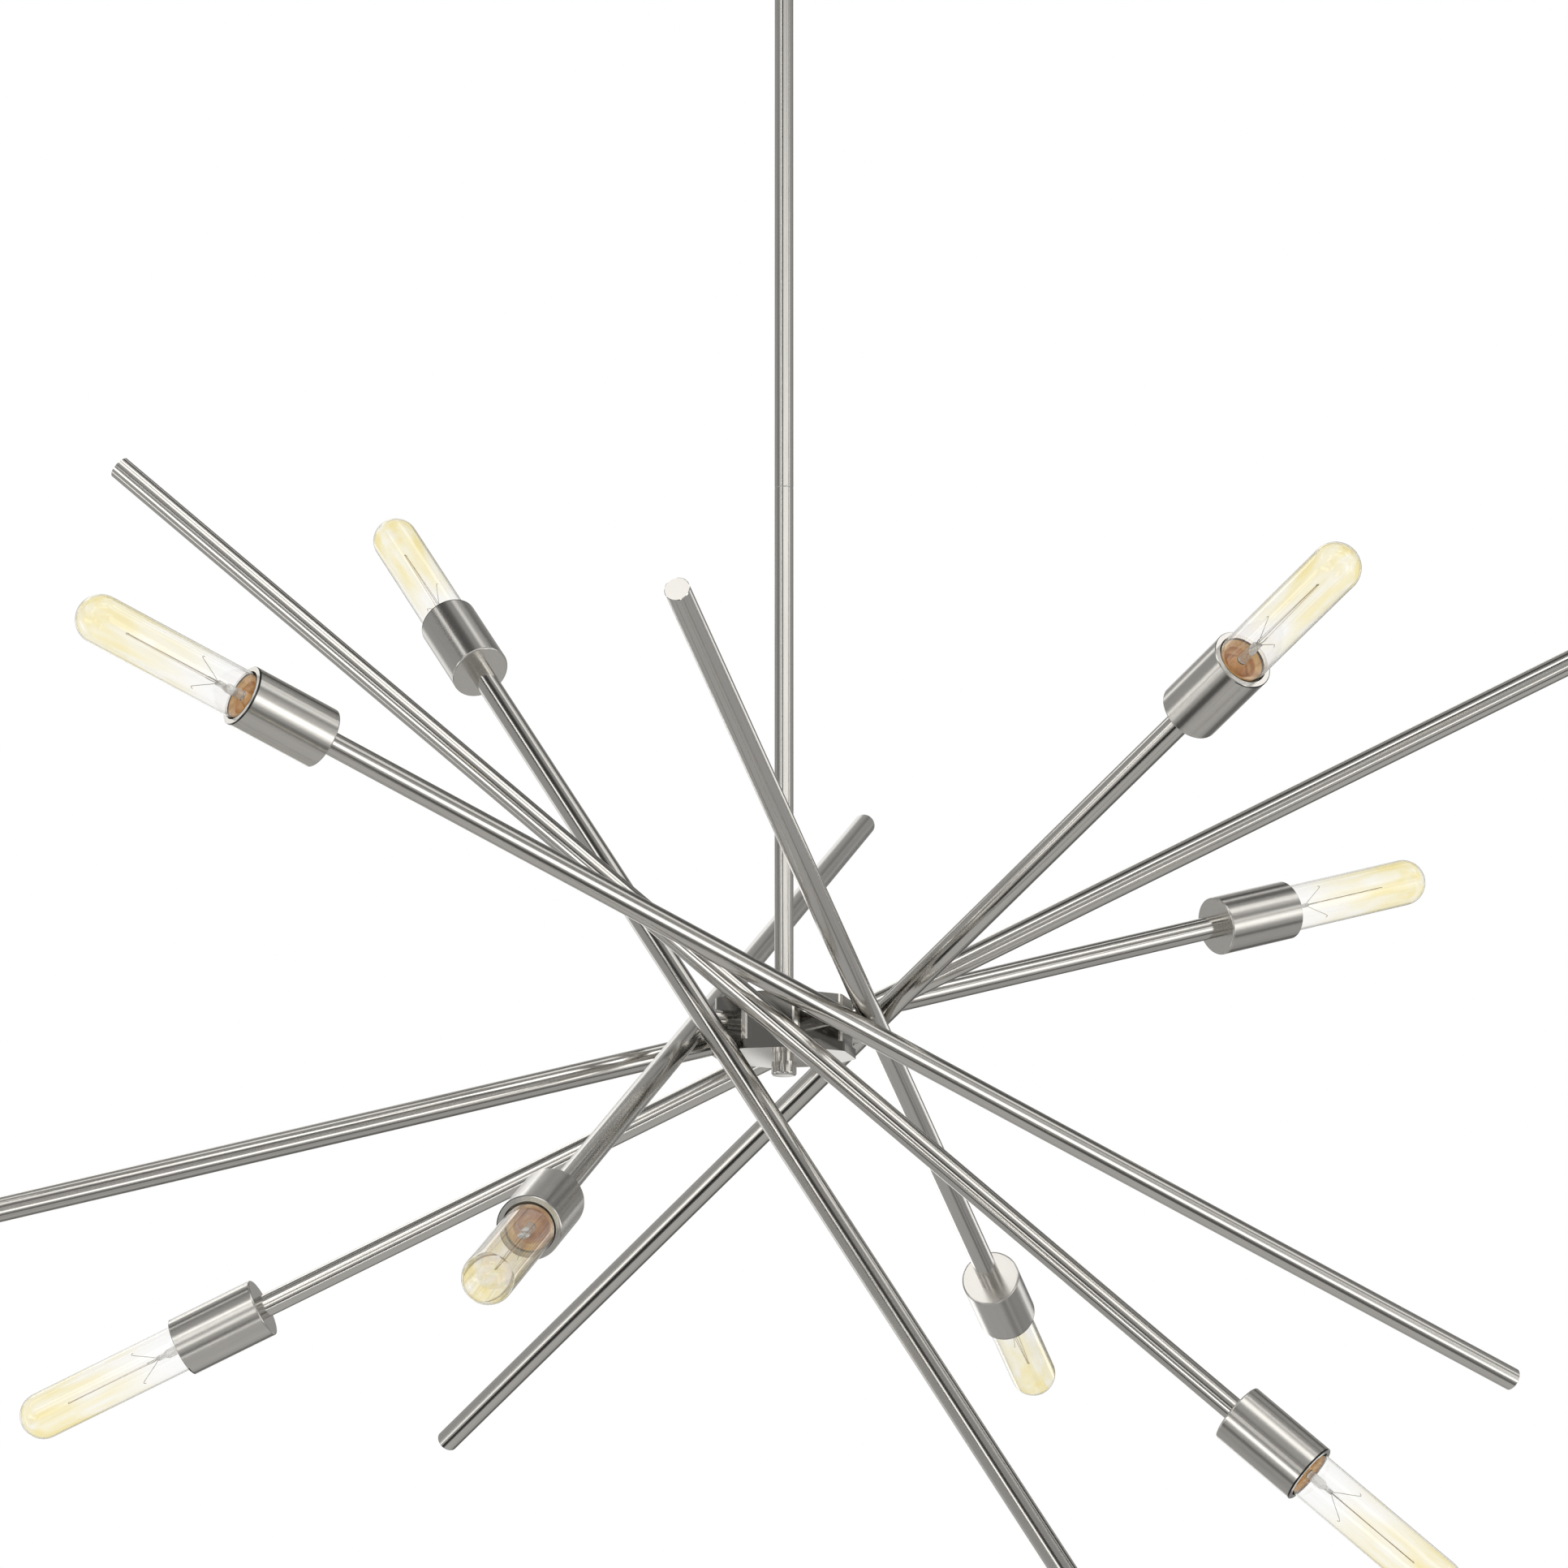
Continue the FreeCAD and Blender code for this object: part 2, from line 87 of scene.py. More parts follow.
def measure_lamp(number):
    """Reads one arm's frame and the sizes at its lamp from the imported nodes.

    The arm's direction is the main axis of its tube's points, the first right singular vector.
    """
    joint = next(j for j in frame["joints"] if j["name"] == "arm_%d_pivot" % number)
    place = np.array(joint["pos_m"])
    outward = np.array(joint["axis"])
    tube = vertices_of("arm_%d_tube" % number)
    along = np.linalg.svd(tube - tube.mean(axis=0), full_matrices=False)[2][0]
    cup_centre = vertices_of("arm_%d_cup" % number).mean(axis=0)
    along = along * np.sign((cup_centre - place) @ along)
    outward = outward - (outward @ along) * along
    outward = outward / np.linalg.norm(outward)
    turn = np.column_stack([outward, np.cross(along, outward), along])
    cup_back, mouth, cup_radius = reach("arm_%d_cup" % number, place, turn)
    glass = reach("arm_%d_bulb_glass" % number, place, turn)
    cap = reach("arm_%d_bulb_cap" % number, place, turn)
    socket = reach("arm_%d_socket" % number, place, turn)
    return Lamp(number, "arm_%d" % number, place, turn, cup_back, mouth, cup_radius, glass[1], glass[2],
                cap[1], cap[0], cap[2], socket[1], socket[0], socket[2])


LAMPS = [measure_lamp(number) for number in range(1, ARM_COUNT + 1)]


# ---------------------------------------------------------------- surfaces from arrays

def strip_faces(rows, columns, wrap):
    """Quads between neighbouring rows of a grid of points, closed sideways when wrap is true."""
    across = columns if wrap else columns - 1
    row, column = np.meshgrid(np.arange(rows - 1), np.arange(across), indexing="ij")
    right = (column + 1) % columns
    corners = np.stack([row * columns + column, row * columns + right,
                        (row + 1) * columns + right, (row + 1) * columns + column], axis=-1)
    return corners.reshape(-1, 4)


def make_object(name, points, faces, uv, attributes=None):
    """Puts arrays of points, faces and one UV pair for each point into a new smooth mesh object."""
    mesh = bpy.data.meshes.new(name)
    mesh.from_pydata(points, [], faces)
    layer = mesh.uv_layers.new(name="surface")
    loop_points = np.empty(len(mesh.loops), np.int32)
    mesh.loops.foreach_get("vertex_index", loop_points)
    layer.data.foreach_set("uv", uv[loop_points].astype(np.float32).ravel())
    for key, values in (attributes or {}).items():
        attribute = mesh.attributes.new(key, "FLOAT", "POINT")
        attribute.data.foreach_set("value", values.astype(np.float32))
    mesh.polygons.foreach_set("use_smooth", np.ones(len(mesh.polygons), bool))
    mesh.validate()
    mesh.update()
    made = bpy.data.objects.new(name, mesh)
    bpy.context.scene.collection.objects.link(made)
    return made


def rounded_profile(corners, radii, steps=5):
    """A profile of (radius, height) corners whose inner corners are rounded.

    Each corner is cut back by its radius along both of its sides and replaced by the quadratic curve
    (1-t)^2 a + 2t(1-t) b + t^2 c, where b is the corner.
    """
    corners = np.asarray(corners, float)
    points = [corners[0]]
    t = np.linspace(0, 1, steps + 1)[:, None]
    for before, corner, after, radius in zip(corners, corners[1:], corners[2:], radii):
        if radius <= 0:
            points.append(corner)
            continue
        back, on = before - corner, after - corner
        a = corner + back * min(radius / np.linalg.norm(back), 0.49)
        c = corner + on * min(radius / np.linalg.norm(on), 0.49)
        points.extend((1 - t) ** 2 * a + 2 * t * (1 - t) * corner + t ** 2 * c)
    points.append(corners[-1])
    return np.array(points)


def turned_arrays(profile, steps=ROUND_STEPS, first=0):
    """A profile of (radius, height) carried round the Z axis: x = r cos a, y = r sin a, z = h.

    A profile point on the axis becomes one point, and a profile that ends where it starts is joined to
    itself, so poles and seams are closed. Returns points, faces and UV, where U is the way round and V
    is the length along the profile. Faces look outward where the profile climbs on its outer side.
    """
    profile = np.asarray(profile, float)
    angle = np.linspace(0, 2 * np.pi, steps, endpoint=False)
    length = np.concatenate([[0], np.cumsum(np.hypot(*np.diff(profile, axis=0).T))])
    loop = np.allclose(profile[0], profile[-1], atol=1e-9)
    pole_start, pole_end = profile[0, 0] < 1e-9, profile[-1, 0] < 1e-9
    kept = slice(int(pole_start), len(profile) - int(pole_end or loop))
    ring, ring_length = profile[kept], length[kept]
    points = np.stack([ring[:, :1] * np.cos(angle), ring[:, :1] * np.sin(angle),
                       np.repeat(ring[:, 1:], steps, axis=1)], axis=-1).reshape(-1, 3)
    uv = np.stack([np.tile(angle * ring[:, 0].max(), len(ring)), np.repeat(ring_length, steps)], axis=-1)
    around = np.arange(steps)
    beyond = (around + 1) % steps
    last = (len(ring) - 1) * steps
    quads = strip_faces(len(ring), steps, True)
    if loop:
        quads = np.vstack([quads, np.stack([last + around, last + beyond, beyond, around], axis=-1)])
    faces = [tuple(face) for face in quads + first]
    for has_pole, near, far, at in ((pole_start, beyond, around, 0),
                                    (pole_end, last + around, last + beyond, -1)):
        if has_pole:
            pole = np.full(steps, len(points))
            faces += [tuple(face) for face in np.stack([near, far, pole], axis=-1) + first]
            points = np.vstack([points, [0, 0, profile[at, 1]]])
            uv = np.vstack([uv, [0, length[at]]])
    return points, faces, uv


def into_place(lamp, points):
    """Moves points from the lamp's arm frame to the model's frame."""
    return points @ lamp.turn.T + lamp.place


def turned_piece(lamp, name, profiles, steps=ROUND_STEPS, heights=None):
    """One object from one or more turned profiles in the lamp's frame.

    heights is a pair: the share attribute runs from 0 at the first height to 1 at the second.
    """
    all_points, all_faces, all_uv = np.empty((0, 3)), [], np.empty((0, 2))
    for profile in profiles:
        points, faces, uv = turned_arrays(profile, steps, len(all_points))
        all_points, all_uv = np.vstack([all_points, points]), np.vstack([all_uv, uv])
        all_faces += faces
    share = None
    if heights:
        share = {"share": np.clip((all_points[:, 2] - heights[0]) / (heights[1] - heights[0]), 0, 1)}
    return make_object(name, into_place(lamp, all_points), all_faces, all_uv, share)


def wire_arrays(path, radius, sides=WIRE_SIDES, first=0):
    """A round wire carried along a path of points, with flat closed ends.

    At each point two unit vectors square to the path's direction t come from one fixed direction:
    n = fixed x t, b = t x n, and the ring is p + r (n cos a + b sin a).
    """
    path = np.asarray(path, float)
    tangent = np.gradient(path, axis=0)
    tangent /= np.linalg.norm(tangent, axis=1, keepdims=True)
    spread = np.abs(tangent).mean(axis=0)
    reference = np.eye(3)[np.argmin(spread)] + 0.01
    normal = np.cross(reference, tangent)
    normal /= np.linalg.norm(normal, axis=1, keepdims=True)
    side = np.cross(tangent, normal)
    angle = np.linspace(0, 2 * np.pi, sides, endpoint=False)
    ring = normal[:, None] * np.cos(angle)[:, None] + side[:, None] * np.sin(angle)[:, None]
    points = (path[:, None] + radius * ring).reshape(-1, 3)
    length = np.concatenate([[0], np.cumsum(np.linalg.norm(np.diff(path, axis=0), axis=1))])
    uv = np.stack([np.tile(angle * radius, len(path)), np.repeat(length, sides)], axis=-1)
    faces = [tuple(face) for face in strip_faces(len(path), sides, True) + first]
    last = (len(path) - 1) * sides + first
    faces.append(tuple(first + np.arange(sides)[::-1]))
    faces.append(tuple(last + np.arange(sides)))
    return points, faces, uv


def wires_piece(lamp, name, paths, radii, sides=WIRE_SIDES):
    """One object from several wires in the lamp's frame."""
    all_points, all_faces, all_uv = np.empty((0, 3)), [], np.empty((0, 2))
    for path, radius in zip(paths, radii):
        points, faces, uv = wire_arrays(path, radius, sides, len(all_points))
        all_points, all_uv = np.vstack([all_points, points]), np.vstack([all_uv, uv])
        all_faces += faces
    return make_object(name, into_place(lamp, all_points), all_faces, all_uv)


def smooth_path(corners, steps=24):
    """A path through corners as one Catmull-Rom curve: each span is a cubic through its two corners."""
    corners = np.asarray(corners, float)
    padded = np.vstack([2 * corners[0] - corners[1], corners, 2 * corners[-1] - corners[-2]])
    t = np.linspace(0, 1, steps, endpoint=False)[:, None]
    spans = []
    for p0, p1, p2, p3 in zip(padded, padded[1:], padded[2:], padded[3:]):
        spans.append(0.5 * (2 * p1 + (p2 - p0) * t + (2 * p0 - 5 * p1 + 4 * p2 - p3) * t ** 2
                            + (3 * p1 - p0 - 3 * p2 + p3) * t ** 3))
    return np.vstack(spans + [corners[-1:]])


def finish_piece(piece, material, body):
    """Gives a piece its material and its CAD body."""
    piece.data.materials.clear()
    piece.data.materials.append(material)
    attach(piece, body)
    return piece


def dress_node(node, material):
    """Gives a CAD node its finish."""
    target = frame["nodes"][node]
    target.data.materials.clear()
    target.data.materials.append(material)


# ---------------------------------------------------------------- materials

NOISE_SPAN = (0.36, 0.64)       # a noise texture has nearly all its values between these
OPEN_SPAN = (0.35, 0.65)
ROUGH_SPAN = (0.3, 0.7)
CLEAR = (1.0, 1.0, 1.0, 1.0)

# A plain finish with soft spots: two colours, the spots' size, gloss, metal share and relief.
Speckle = namedtuple("Speckle", "light dark spot roughness metallic relief", defaults=(0.0, 0.0))
ZINC = Speckle((0.62, 0.63, 0.62), (0.48, 0.49, 0.47), 4 * MM, 0.34, 1.0, 0.08)
MOULDING = Speckle((0.80, 0.74, 0.60), (0.70, 0.63, 0.49), 3 * MM, 0.42, 0.0, 0.1)
BRASS = Speckle((0.80, 0.58, 0.30), (0.66, 0.45, 0.21), 4 * MM, 0.26, 1.0, 0.05)
COPPER = Speckle((0.86, 0.60, 0.38), (0.72, 0.45, 0.25), 5 * MM, 0.22, 1.0, 0.05)
COPPERY_COAT = Speckle((1.0, 0.64, 0.28), (0.80, 0.43, 0.16), 6 * MM, 0.36, 0.3, 0.2)
DARK_DISC = Speckle((0.06, 0.05, 0.06), (0.03, 0.03, 0.03), 3 * MM, 0.15)
TUNGSTEN = Speckle((0.62, 0.42, 0.20), (0.42, 0.27, 0.12), 1 * MM, 0.4, 1.0)
LEAD_WIRE = Speckle((0.50, 0.47, 0.42), (0.34, 0.31, 0.27), 2 * MM, 0.3, 1.0)


def scaled(colour, factor=1.0):
    """A colour made lighter or darker, with alpha 1."""
    return (colour[0] * factor, colour[1] * factor, colour[2] * factor, 1.0)


class Nodes:
    """A node tree with short ways to add and join nodes. An input is a value or another node's output."""

    def __init__(self, tree):
        self.tree = tree
        tree.nodes.clear()

    def add(self, kind, settings=None, **inputs):
        """Adds a node. Underscores in an input's name stand for spaces, and i0 is the first input."""
        node = self.tree.nodes.new(kind)
        for key, value in (settings or {}).items():
            setattr(node, key, value)
        for key, value in inputs.items():
            numbered = key[0] == "i" and key[1:].isdigit()
            socket = node.inputs[int(key[1:]) if numbered else key.replace("_", " ")]
            if isinstance(value, bpy.types.NodeSocket):
                self.tree.links.new(value, socket)
            else:
                socket.default_value = value
        return node

    def math(self, operation, first, second=0.0, clamp=False):
        """The output of one Math node."""
        return self.add("ShaderNodeMath", {"operation": operation, "use_clamp": clamp},
                        i0=first, i1=second).outputs[0]

    def weighted(self, first, share, second):
        """share of the first value and the rest of the second."""
        return self.math("ADD", self.math("MULTIPLY", first, share),
                         self.math("MULTIPLY", second, 1.0 - share))

    def blend(self, amount, first, second):
        """A value between two values."""
        return self.add("ShaderNodeMix", i0=amount, i2=first, i3=second).outputs[0]

    def colour_blend(self, amount, first, second):
        """A colour between two colours."""
        return self.add("ShaderNodeMix", {"data_type": "RGBA"}, i0=amount, i6=first, i7=second).outputs[2]

    def remap(self, value, span, start, end, smooth=False):
        """Carries a value from a span to the range from start to end, and no further."""
        return self.add("ShaderNodeMapRange", {"interpolation_type": "SMOOTHSTEP" if smooth else "LINEAR"},
                        Value=value, i1=span[0], i2=span[1], i3=start, i4=end).outputs[0]

    def noise(self, vector, scale=1.0, detail=2.0, roughness=0.5):
        """The value of one noise texture."""
        return self.add("ShaderNodeTexNoise", Vector=vector, Scale=scale, Detail=detail,
                        Roughness=roughness).outputs["Fac"]

    def round_axis(self, vector):
        """Distance from the Z axis, and height."""
        x, y, z = self.add("ShaderNodeSeparateXYZ", Vector=vector).outputs[:3]
        flat = self.add("ShaderNodeCombineXYZ", X=x, Y=y).outputs[0]
        return self.add("ShaderNodeVectorMath", {"operation": "LENGTH"}, i0=flat).outputs["Value"], z

    def seen(self):
        """1 where the camera looks, straight or through glass, and 0 for light and mirror images."""
        path = self.add("ShaderNodeLightPath").outputs
        return self.math("MAXIMUM", path["Is Camera Ray"], path["Is Transmission Ray"])


class Shader(Nodes):
    """The nodes of a new material, which reads Object coordinates."""

    def __init__(self, name):
        self.material = bpy.data.materials.new(name)
        self.material.use_nodes = True
        super().__init__(self.material.node_tree)
        self.position = self.add("ShaderNodeTexCoord").outputs["Object"]

    def local(self, place, turn, size=(1.0, 1.0, 1.0)):
        """Object coordinates in the frame of place and turn, in units of size."""
        return self.add("ShaderNodeMapping", {"vector_type": "TEXTURE"}, Vector=self.position,
                        Location=tuple(place), Rotation=tuple(Matrix(turn.tolist()).to_euler("XYZ")),
                        Scale=size).outputs[0]

    def surface(self, shader):
        """Joins a shader to the material's output and returns the material."""
        self.add("ShaderNodeOutputMaterial", Surface=shader)
        return self.material


def nickel_colour(shader, finish, tone, painted_shade=1.0):
    """The plate's colour, darker or lighter by its contrast where the tone is low or high, and darkened by
    the painted shade given.
    """
    spread = shader.remap(tone, NOISE_SPAN, 0.0, 1.0)
    return shader.colour_blend(spread, scaled(finish.colour, painted_shade * (1.0 - finish.contrast)),
                               scaled(finish.colour, painted_shade * (1.0 + finish.contrast)))


def nickel_surface(shader, finish, tone, lines, colour, roughness):
    """The plated metal itself: its gloss follows the tone, and its relief follows the lines."""
    rough = shader.remap(tone, NOISE_SPAN, roughness + finish.roughness_spread,
                         roughness - finish.roughness_spread)
    bump = shader.add("ShaderNodeBump", Strength=finish.bump, Distance=finish.hair_depth, Height=lines)
    metal = shader.add("ShaderNodeBsdfPrincipled", Base_Color=colour, Metallic=1.0, Roughness=rough,
                       Normal=bump.outputs[0])
    return shader.surface(metal.outputs[0])


def brushed_nickel(name, finish, place, turn, roughness, grain=1.0, painted_shade=1.0, painted_edge=None):
    """Satin nickel with long fine brush lines along the local Z axis of place and turn.

    Three noises are stretched along the grain: hair lines, broader streaks, and cloudy handling marks. The
    lines fade out on faces that are square to the grain.
    The shade given darkens the faces along the grain as painted shade, while faces square to the grain keep
    the plain colour.
    The edge given is a radius, a height and a tone: the metal beyond both has that tone, a painted dark
    reflection on a cup's rounded lip, or a painted highlight on the hub's corners.
    """
    shader = Shader(name)

    def stretched(width, length, detail):
        return shader.noise(shader.local(place, turn, (width, width, length)), 1.0, detail, 0.6)

    hair = stretched(finish.hair_width * grain, finish.hair_length, 3.0)
    streak = stretched(finish.streak_width * grain, finish.streak_length, 2.0)
    cloud = stretched(finish.cloud_size, finish.cloud_size * 1.6, 2.0)
    normal = shader.add("ShaderNodeTexCoord").outputs["Normal"]
    along_grain = shader.add("ShaderNodeVectorMath", {"operation": "DOT_PRODUCT"}, i0=normal,
                             i1=tuple(turn[:, 2])).outputs["Value"]
    end_on = shader.math("ABSOLUTE", along_grain)
    lines = shader.blend(end_on, shader.weighted(hair, 0.5, streak), 0.5)
    tone = shader.weighted(lines, 0.75, cloud)
    # Painted shade: faces along the grain take the shaded colour, faces square to the grain the plain colour.
    colour = shader.colour_blend(end_on, nickel_colour(shader, finish, tone, painted_shade), scaled(finish.colour))
    # Painted light at the edge: a painted dark reflection on a cup's lip, a painted highlight on the hub's
    # corners.
    if painted_edge:
        edge_radius, edge_height, painted_edge_tone = painted_edge
        radius, height = shader.round_axis(shader.local(place, turn))
        beyond = shader.math("MULTIPLY", shader.math("GREATER_THAN", radius, edge_radius),
                             shader.math("GREATER_THAN", height, edge_height))
        colour = shader.colour_blend(beyond, colour, scaled(finish.colour, painted_edge_tone))
    return nickel_surface(shader, finish, tone, lines, colour, roughness)


def turned_nickel(name, finish, place, roughness):
    """Satin nickel with fine lathe rings about the upright axis through place, for the round pieces."""
    shader = Shader(name)
    centred = shader.add("ShaderNodeVectorMath", {"operation": "SUBTRACT"}, i0=shader.position,
                         i1=tuple(place)).outputs[0]
    radius, height = shader.round_axis(centred)
    ring_place = shader.add("ShaderNodeCombineXYZ", X=shader.math("DIVIDE", radius, finish.hair_width),
                            Y=shader.math("DIVIDE", height, finish.hair_width)).outputs[0]
    rings = shader.noise(ring_place)
    tone = shader.weighted(rings, 0.7, shader.noise(centred, 1.0 / finish.cloud_size))
    return nickel_surface(shader, finish, tone, rings, nickel_colour(shader, finish, tone), roughness)


def speckled(name, finish):
    """A plain finish whose tone drifts between two colours in soft spots of one size."""
    shader = Shader(name)
    noise = shader.noise(shader.position, 1.0 / finish.spot, 4.0, 0.6)
    colour = shader.colour_blend(shader.remap(noise, OPEN_SPAN, 0.0, 1.0), scaled(finish.dark),
                                 scaled(finish.light))
    rough = shader.remap(noise, ROUGH_SPAN, finish.roughness * 1.25, finish.roughness * 0.8)
    ridge = shader.add("ShaderNodeBump", Strength=finish.relief, Distance=finish.spot * 0.1, Height=noise)
    look = shader.add("ShaderNodeBsdfPrincipled", Base_Color=colour, Metallic=finish.metallic,
                      Roughness=rough, Normal=ridge.outputs[0])
    return shader.surface(look.outputs[0])


def bulb_glass_material(name, tint, lamp):
    """Clear glass with an amber tint that grows towards the tip and the edges, in soft lengthwise clouds that
    are partly the glass's own tint and partly painted highlights.

    A thin dark line where the glass turns away is a painted reflection: it stands for the dark studio that it
    bends into sight.
    """
    shader = Shader(name)
    share = shader.add("ShaderNodeAttribute", {"attribute_name": "share"}).outputs["Fac"]
    rise = shader.remap(share, (tint.start, tint.full), 0.04, 1.0, smooth=True)
    facing = shader.add("ShaderNodeLayerWeight", Blend=0.5).outputs["Facing"]
    side = shader.remap(facing, (0.05, 0.55), tint.middle, 1.0)
    # The clouds are partly the glass's own uneven tint and partly painted highlights where the tint thins.
    cloud_place = shader.local(lamp.place, lamp.turn, (tint.cloud_size, tint.cloud_size,
                                                       tint.cloud_size * tint.cloud_stretch))
    cloud = shader.remap(shader.noise(cloud_place, 1.0, 1.5), NOISE_SPAN, 0.25, 1.5)
    amount = shader.math("MULTIPLY", shader.math("MULTIPLY", rise, side), cloud, clamp=True)
    amber = shader.colour_blend(amount, CLEAR, scaled(tint.colour))
    # Painted reflection: a dark line where the glass turns away.
    rim = shader.remap(facing, (tint.rim_start, tint.rim_full), 0.0, 1.0, smooth=True)
    colour = shader.colour_blend(rim, amber, scaled(tint.painted_rim_colour))
    glass = shader.add("ShaderNodeBsdfPrincipled", Base_Color=colour, Roughness=0.0, IOR=1.48,
                       Transmission_Weight=1.0)
    return shader.surface(glass.outputs[0])


def mount_glass_material():
    """The mount's glass: half milky from its seal, with faint drawn lines in its tone."""
    shader = Shader("mount_glass")
    colour = shader.colour_blend(shader.noise(shader.position, 900.0), scaled((0.93, 0.93, 0.90)),
                                 scaled((1.0, 1.0, 0.99)))
    glass = shader.add("ShaderNodeBsdfPrincipled", Base_Color=colour, Metallic=0.25, Roughness=0.06, IOR=1.5,
                       Transmission_Weight=0.65)
    return shader.surface(glass.outputs[0])


# ---------------------------------------------------------------- settings a user would change

class NickelSettings(PropertyGroup):
    """The plated finish of the rods, cups and hub."""

    colour: FloatVectorProperty(name="Nickel", description="Colour of the nickel plate", subtype="COLOR",
                                default=(0.62, 0.605, 0.575), min=0.0, max=1.0)
    # Painted shade: the hub's walls and pan rim are painted darker than the rods by this share.
    hub_painted_shade: FloatProperty(name="Hub shade", description="Tone of the hub's walls against the rods'",
                             default=0.32, min=0.0, max=1.0)
    rod_roughness: FloatProperty(name="Rod roughness", description="Gloss of the rods, 0 is a mirror",
                                 default=0.15, min=0.0, max=1.0)
    cup_roughness: FloatProperty(name="Cup roughness", description="Gloss of the lamp cups",
                                 default=0.22, min=0.0, max=1.0)
    hub_roughness: FloatProperty(name="Hub roughness", description="Gloss of the hub and the finial",
                                 default=0.16, min=0.0, max=1.0)
    roughness_spread: FloatProperty(name="Roughness spread", description="How much the gloss varies",
                                    default=0.012, min=0.0, max=0.5)
    contrast: FloatProperty(name="Contrast", description="How much the brush lines vary in tone",
                            default=0.04, min=0.0, max=0.5)
    bump: FloatProperty(name="Brush relief", description="Strength of the brush lines' relief",
                        default=0.03, min=0.0, max=1.0)
    hair_width: FloatProperty(name="Hair line width", description="Width of the finest brush lines",
                              default=0.0006, min=0.00001, unit="LENGTH")
    hair_length: FloatProperty(name="Hair line length", description="Length of the finest brush lines",
                               default=0.028, min=0.001, unit="LENGTH")
    hair_depth: FloatProperty(name="Hair line depth", description="Depth of the finest brush lines",
                              default=0.00001, min=0.0, unit="LENGTH")
    streak_width: FloatProperty(name="Streak width", description="Width of the broader streaks",
                                default=0.0011, min=0.0001, unit="LENGTH")
    streak_length: FloatProperty(name="Streak length", description="Length of the broader streaks",
                                 default=0.12, min=0.001, unit="LENGTH")
    cloud_size: FloatProperty(name="Cloud size", description="Size of the faint cloudy marks",
                              default=0.03, min=0.001, unit="LENGTH")


class TintSettings(PropertyGroup):
    """The amber tint of the bulbs."""

    colour: FloatVectorProperty(name="Tint", description="Colour of the glass at its strongest, per surface",
                                subtype="COLOR", default=(0.97, 0.905, 0.64), min=0.0, max=1.0)
    # Painted reflection: the colour of the dark line where the glass turns away.
    painted_rim_colour: FloatVectorProperty(name="Rim", description="Colour of the line where the glass turns away",
                                    subtype="COLOR", default=(0.34, 0.32, 0.24), min=0.0, max=1.0)
    rim_start: FloatProperty(name="Rim start", description="Turn of the glass where the line starts",
                             default=0.70, min=0.0, max=1.0)
    rim_full: FloatProperty(name="Rim full", description="Turn of the glass where the line is full",
                            default=0.88, min=0.0, max=1.0)
    start: FloatProperty(name="Start", description="Share of the bulb's visible length where the tint starts",
                         default=0.08, min=0.0, max=1.0)
    full: FloatProperty(name="Full", description="Share of the visible length where the tint is full",
                        default=0.8, min=0.0, max=1.0)
    middle: FloatProperty(name="Middle", description="Tint seen straight through, as a share of the edge's",
                          default=0.6, min=0.0, max=1.0)
    # The clouds are partly real tint and partly painted highlights where the tint thins.
    cloud_size: FloatProperty(name="Cloud size", description="Size of the clouds in the tint",
                              default=0.009, min=0.001, unit="LENGTH")
    cloud_stretch: FloatProperty(name="Cloud stretch", description="How much longer than wide the clouds are",
                                 default=4.0, min=1.0)


class LampSettings(PropertyGroup):
    """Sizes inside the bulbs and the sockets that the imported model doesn't give."""

    glass_wall: FloatProperty(name="Glass wall", description="Thickness of the bulb's glass",
                              default=0.0008, min=0.0002, unit="LENGTH")
    neck_diameter: FloatProperty(name="Neck diameter", description="Outer diameter of the glass in the cap",
                                 default=0.0246, min=0.005, unit="LENGTH")
    neck_length: FloatProperty(name="Neck length", description="Length of the glass inside the cap",
                               default=0.008, min=0.001, unit="LENGTH")
    mount_diameter: FloatProperty(name="Mount diameter", description="Diameter of the glass mount",
                                  default=0.0064, min=0.001, unit="LENGTH")
    mount_reach: FloatProperty(name="Mount reach", description="How far the mount stands out of the cup",
                               default=0.019, min=0.0, unit="LENGTH")
    hook_reach: FloatProperty(name="Hook reach", description="Distance from the cup's mouth to the top hook",
                              default=0.087, min=0.01, unit="LENGTH")
    filament_gap: FloatProperty(name="Filament gap", description="Gap between the legs at the mount",
                                default=0.0042, min=0.001, unit="LENGTH")
    support_reach: FloatProperty(name="Support reach", description="From the cup's mouth to the support tips",
                                 default=0.033, min=0.01, unit="LENGTH")
    support_spread: FloatProperty(name="Support spread", description="From the axis to the support tips",
                                  default=0.0095, min=0.001, unit="LENGTH")
    wire_diameter: FloatProperty(name="Wire diameter", description="Diameter of the lead and support wires",
                                 default=0.0006, min=0.0001, unit="LENGTH")
    coil_diameter: FloatProperty(name="Coil diameter", description="Diameter of the filament's fine coil",
                                 default=0.00028, min=0.0001, unit="LENGTH")
    coil_wire: FloatProperty(name="Coil wire", description="Diameter of the wire in the filament's coil",
                             default=0.00014, min=0.00005, unit="LENGTH")
    coil_pitch: FloatProperty(name="Coil pitch", description="Distance between the filament's turns",
                              default=0.00042, min=0.0001, unit="LENGTH")
    thread_pitch: FloatProperty(name="Thread pitch", description="Pitch of the thread of cap and socket",
                                default=0.00363, min=0.001, unit="LENGTH")
    thread_depth: FloatProperty(name="Thread depth", description="Depth of the rolled thread",
                                default=0.0011, min=0.0, unit="LENGTH")


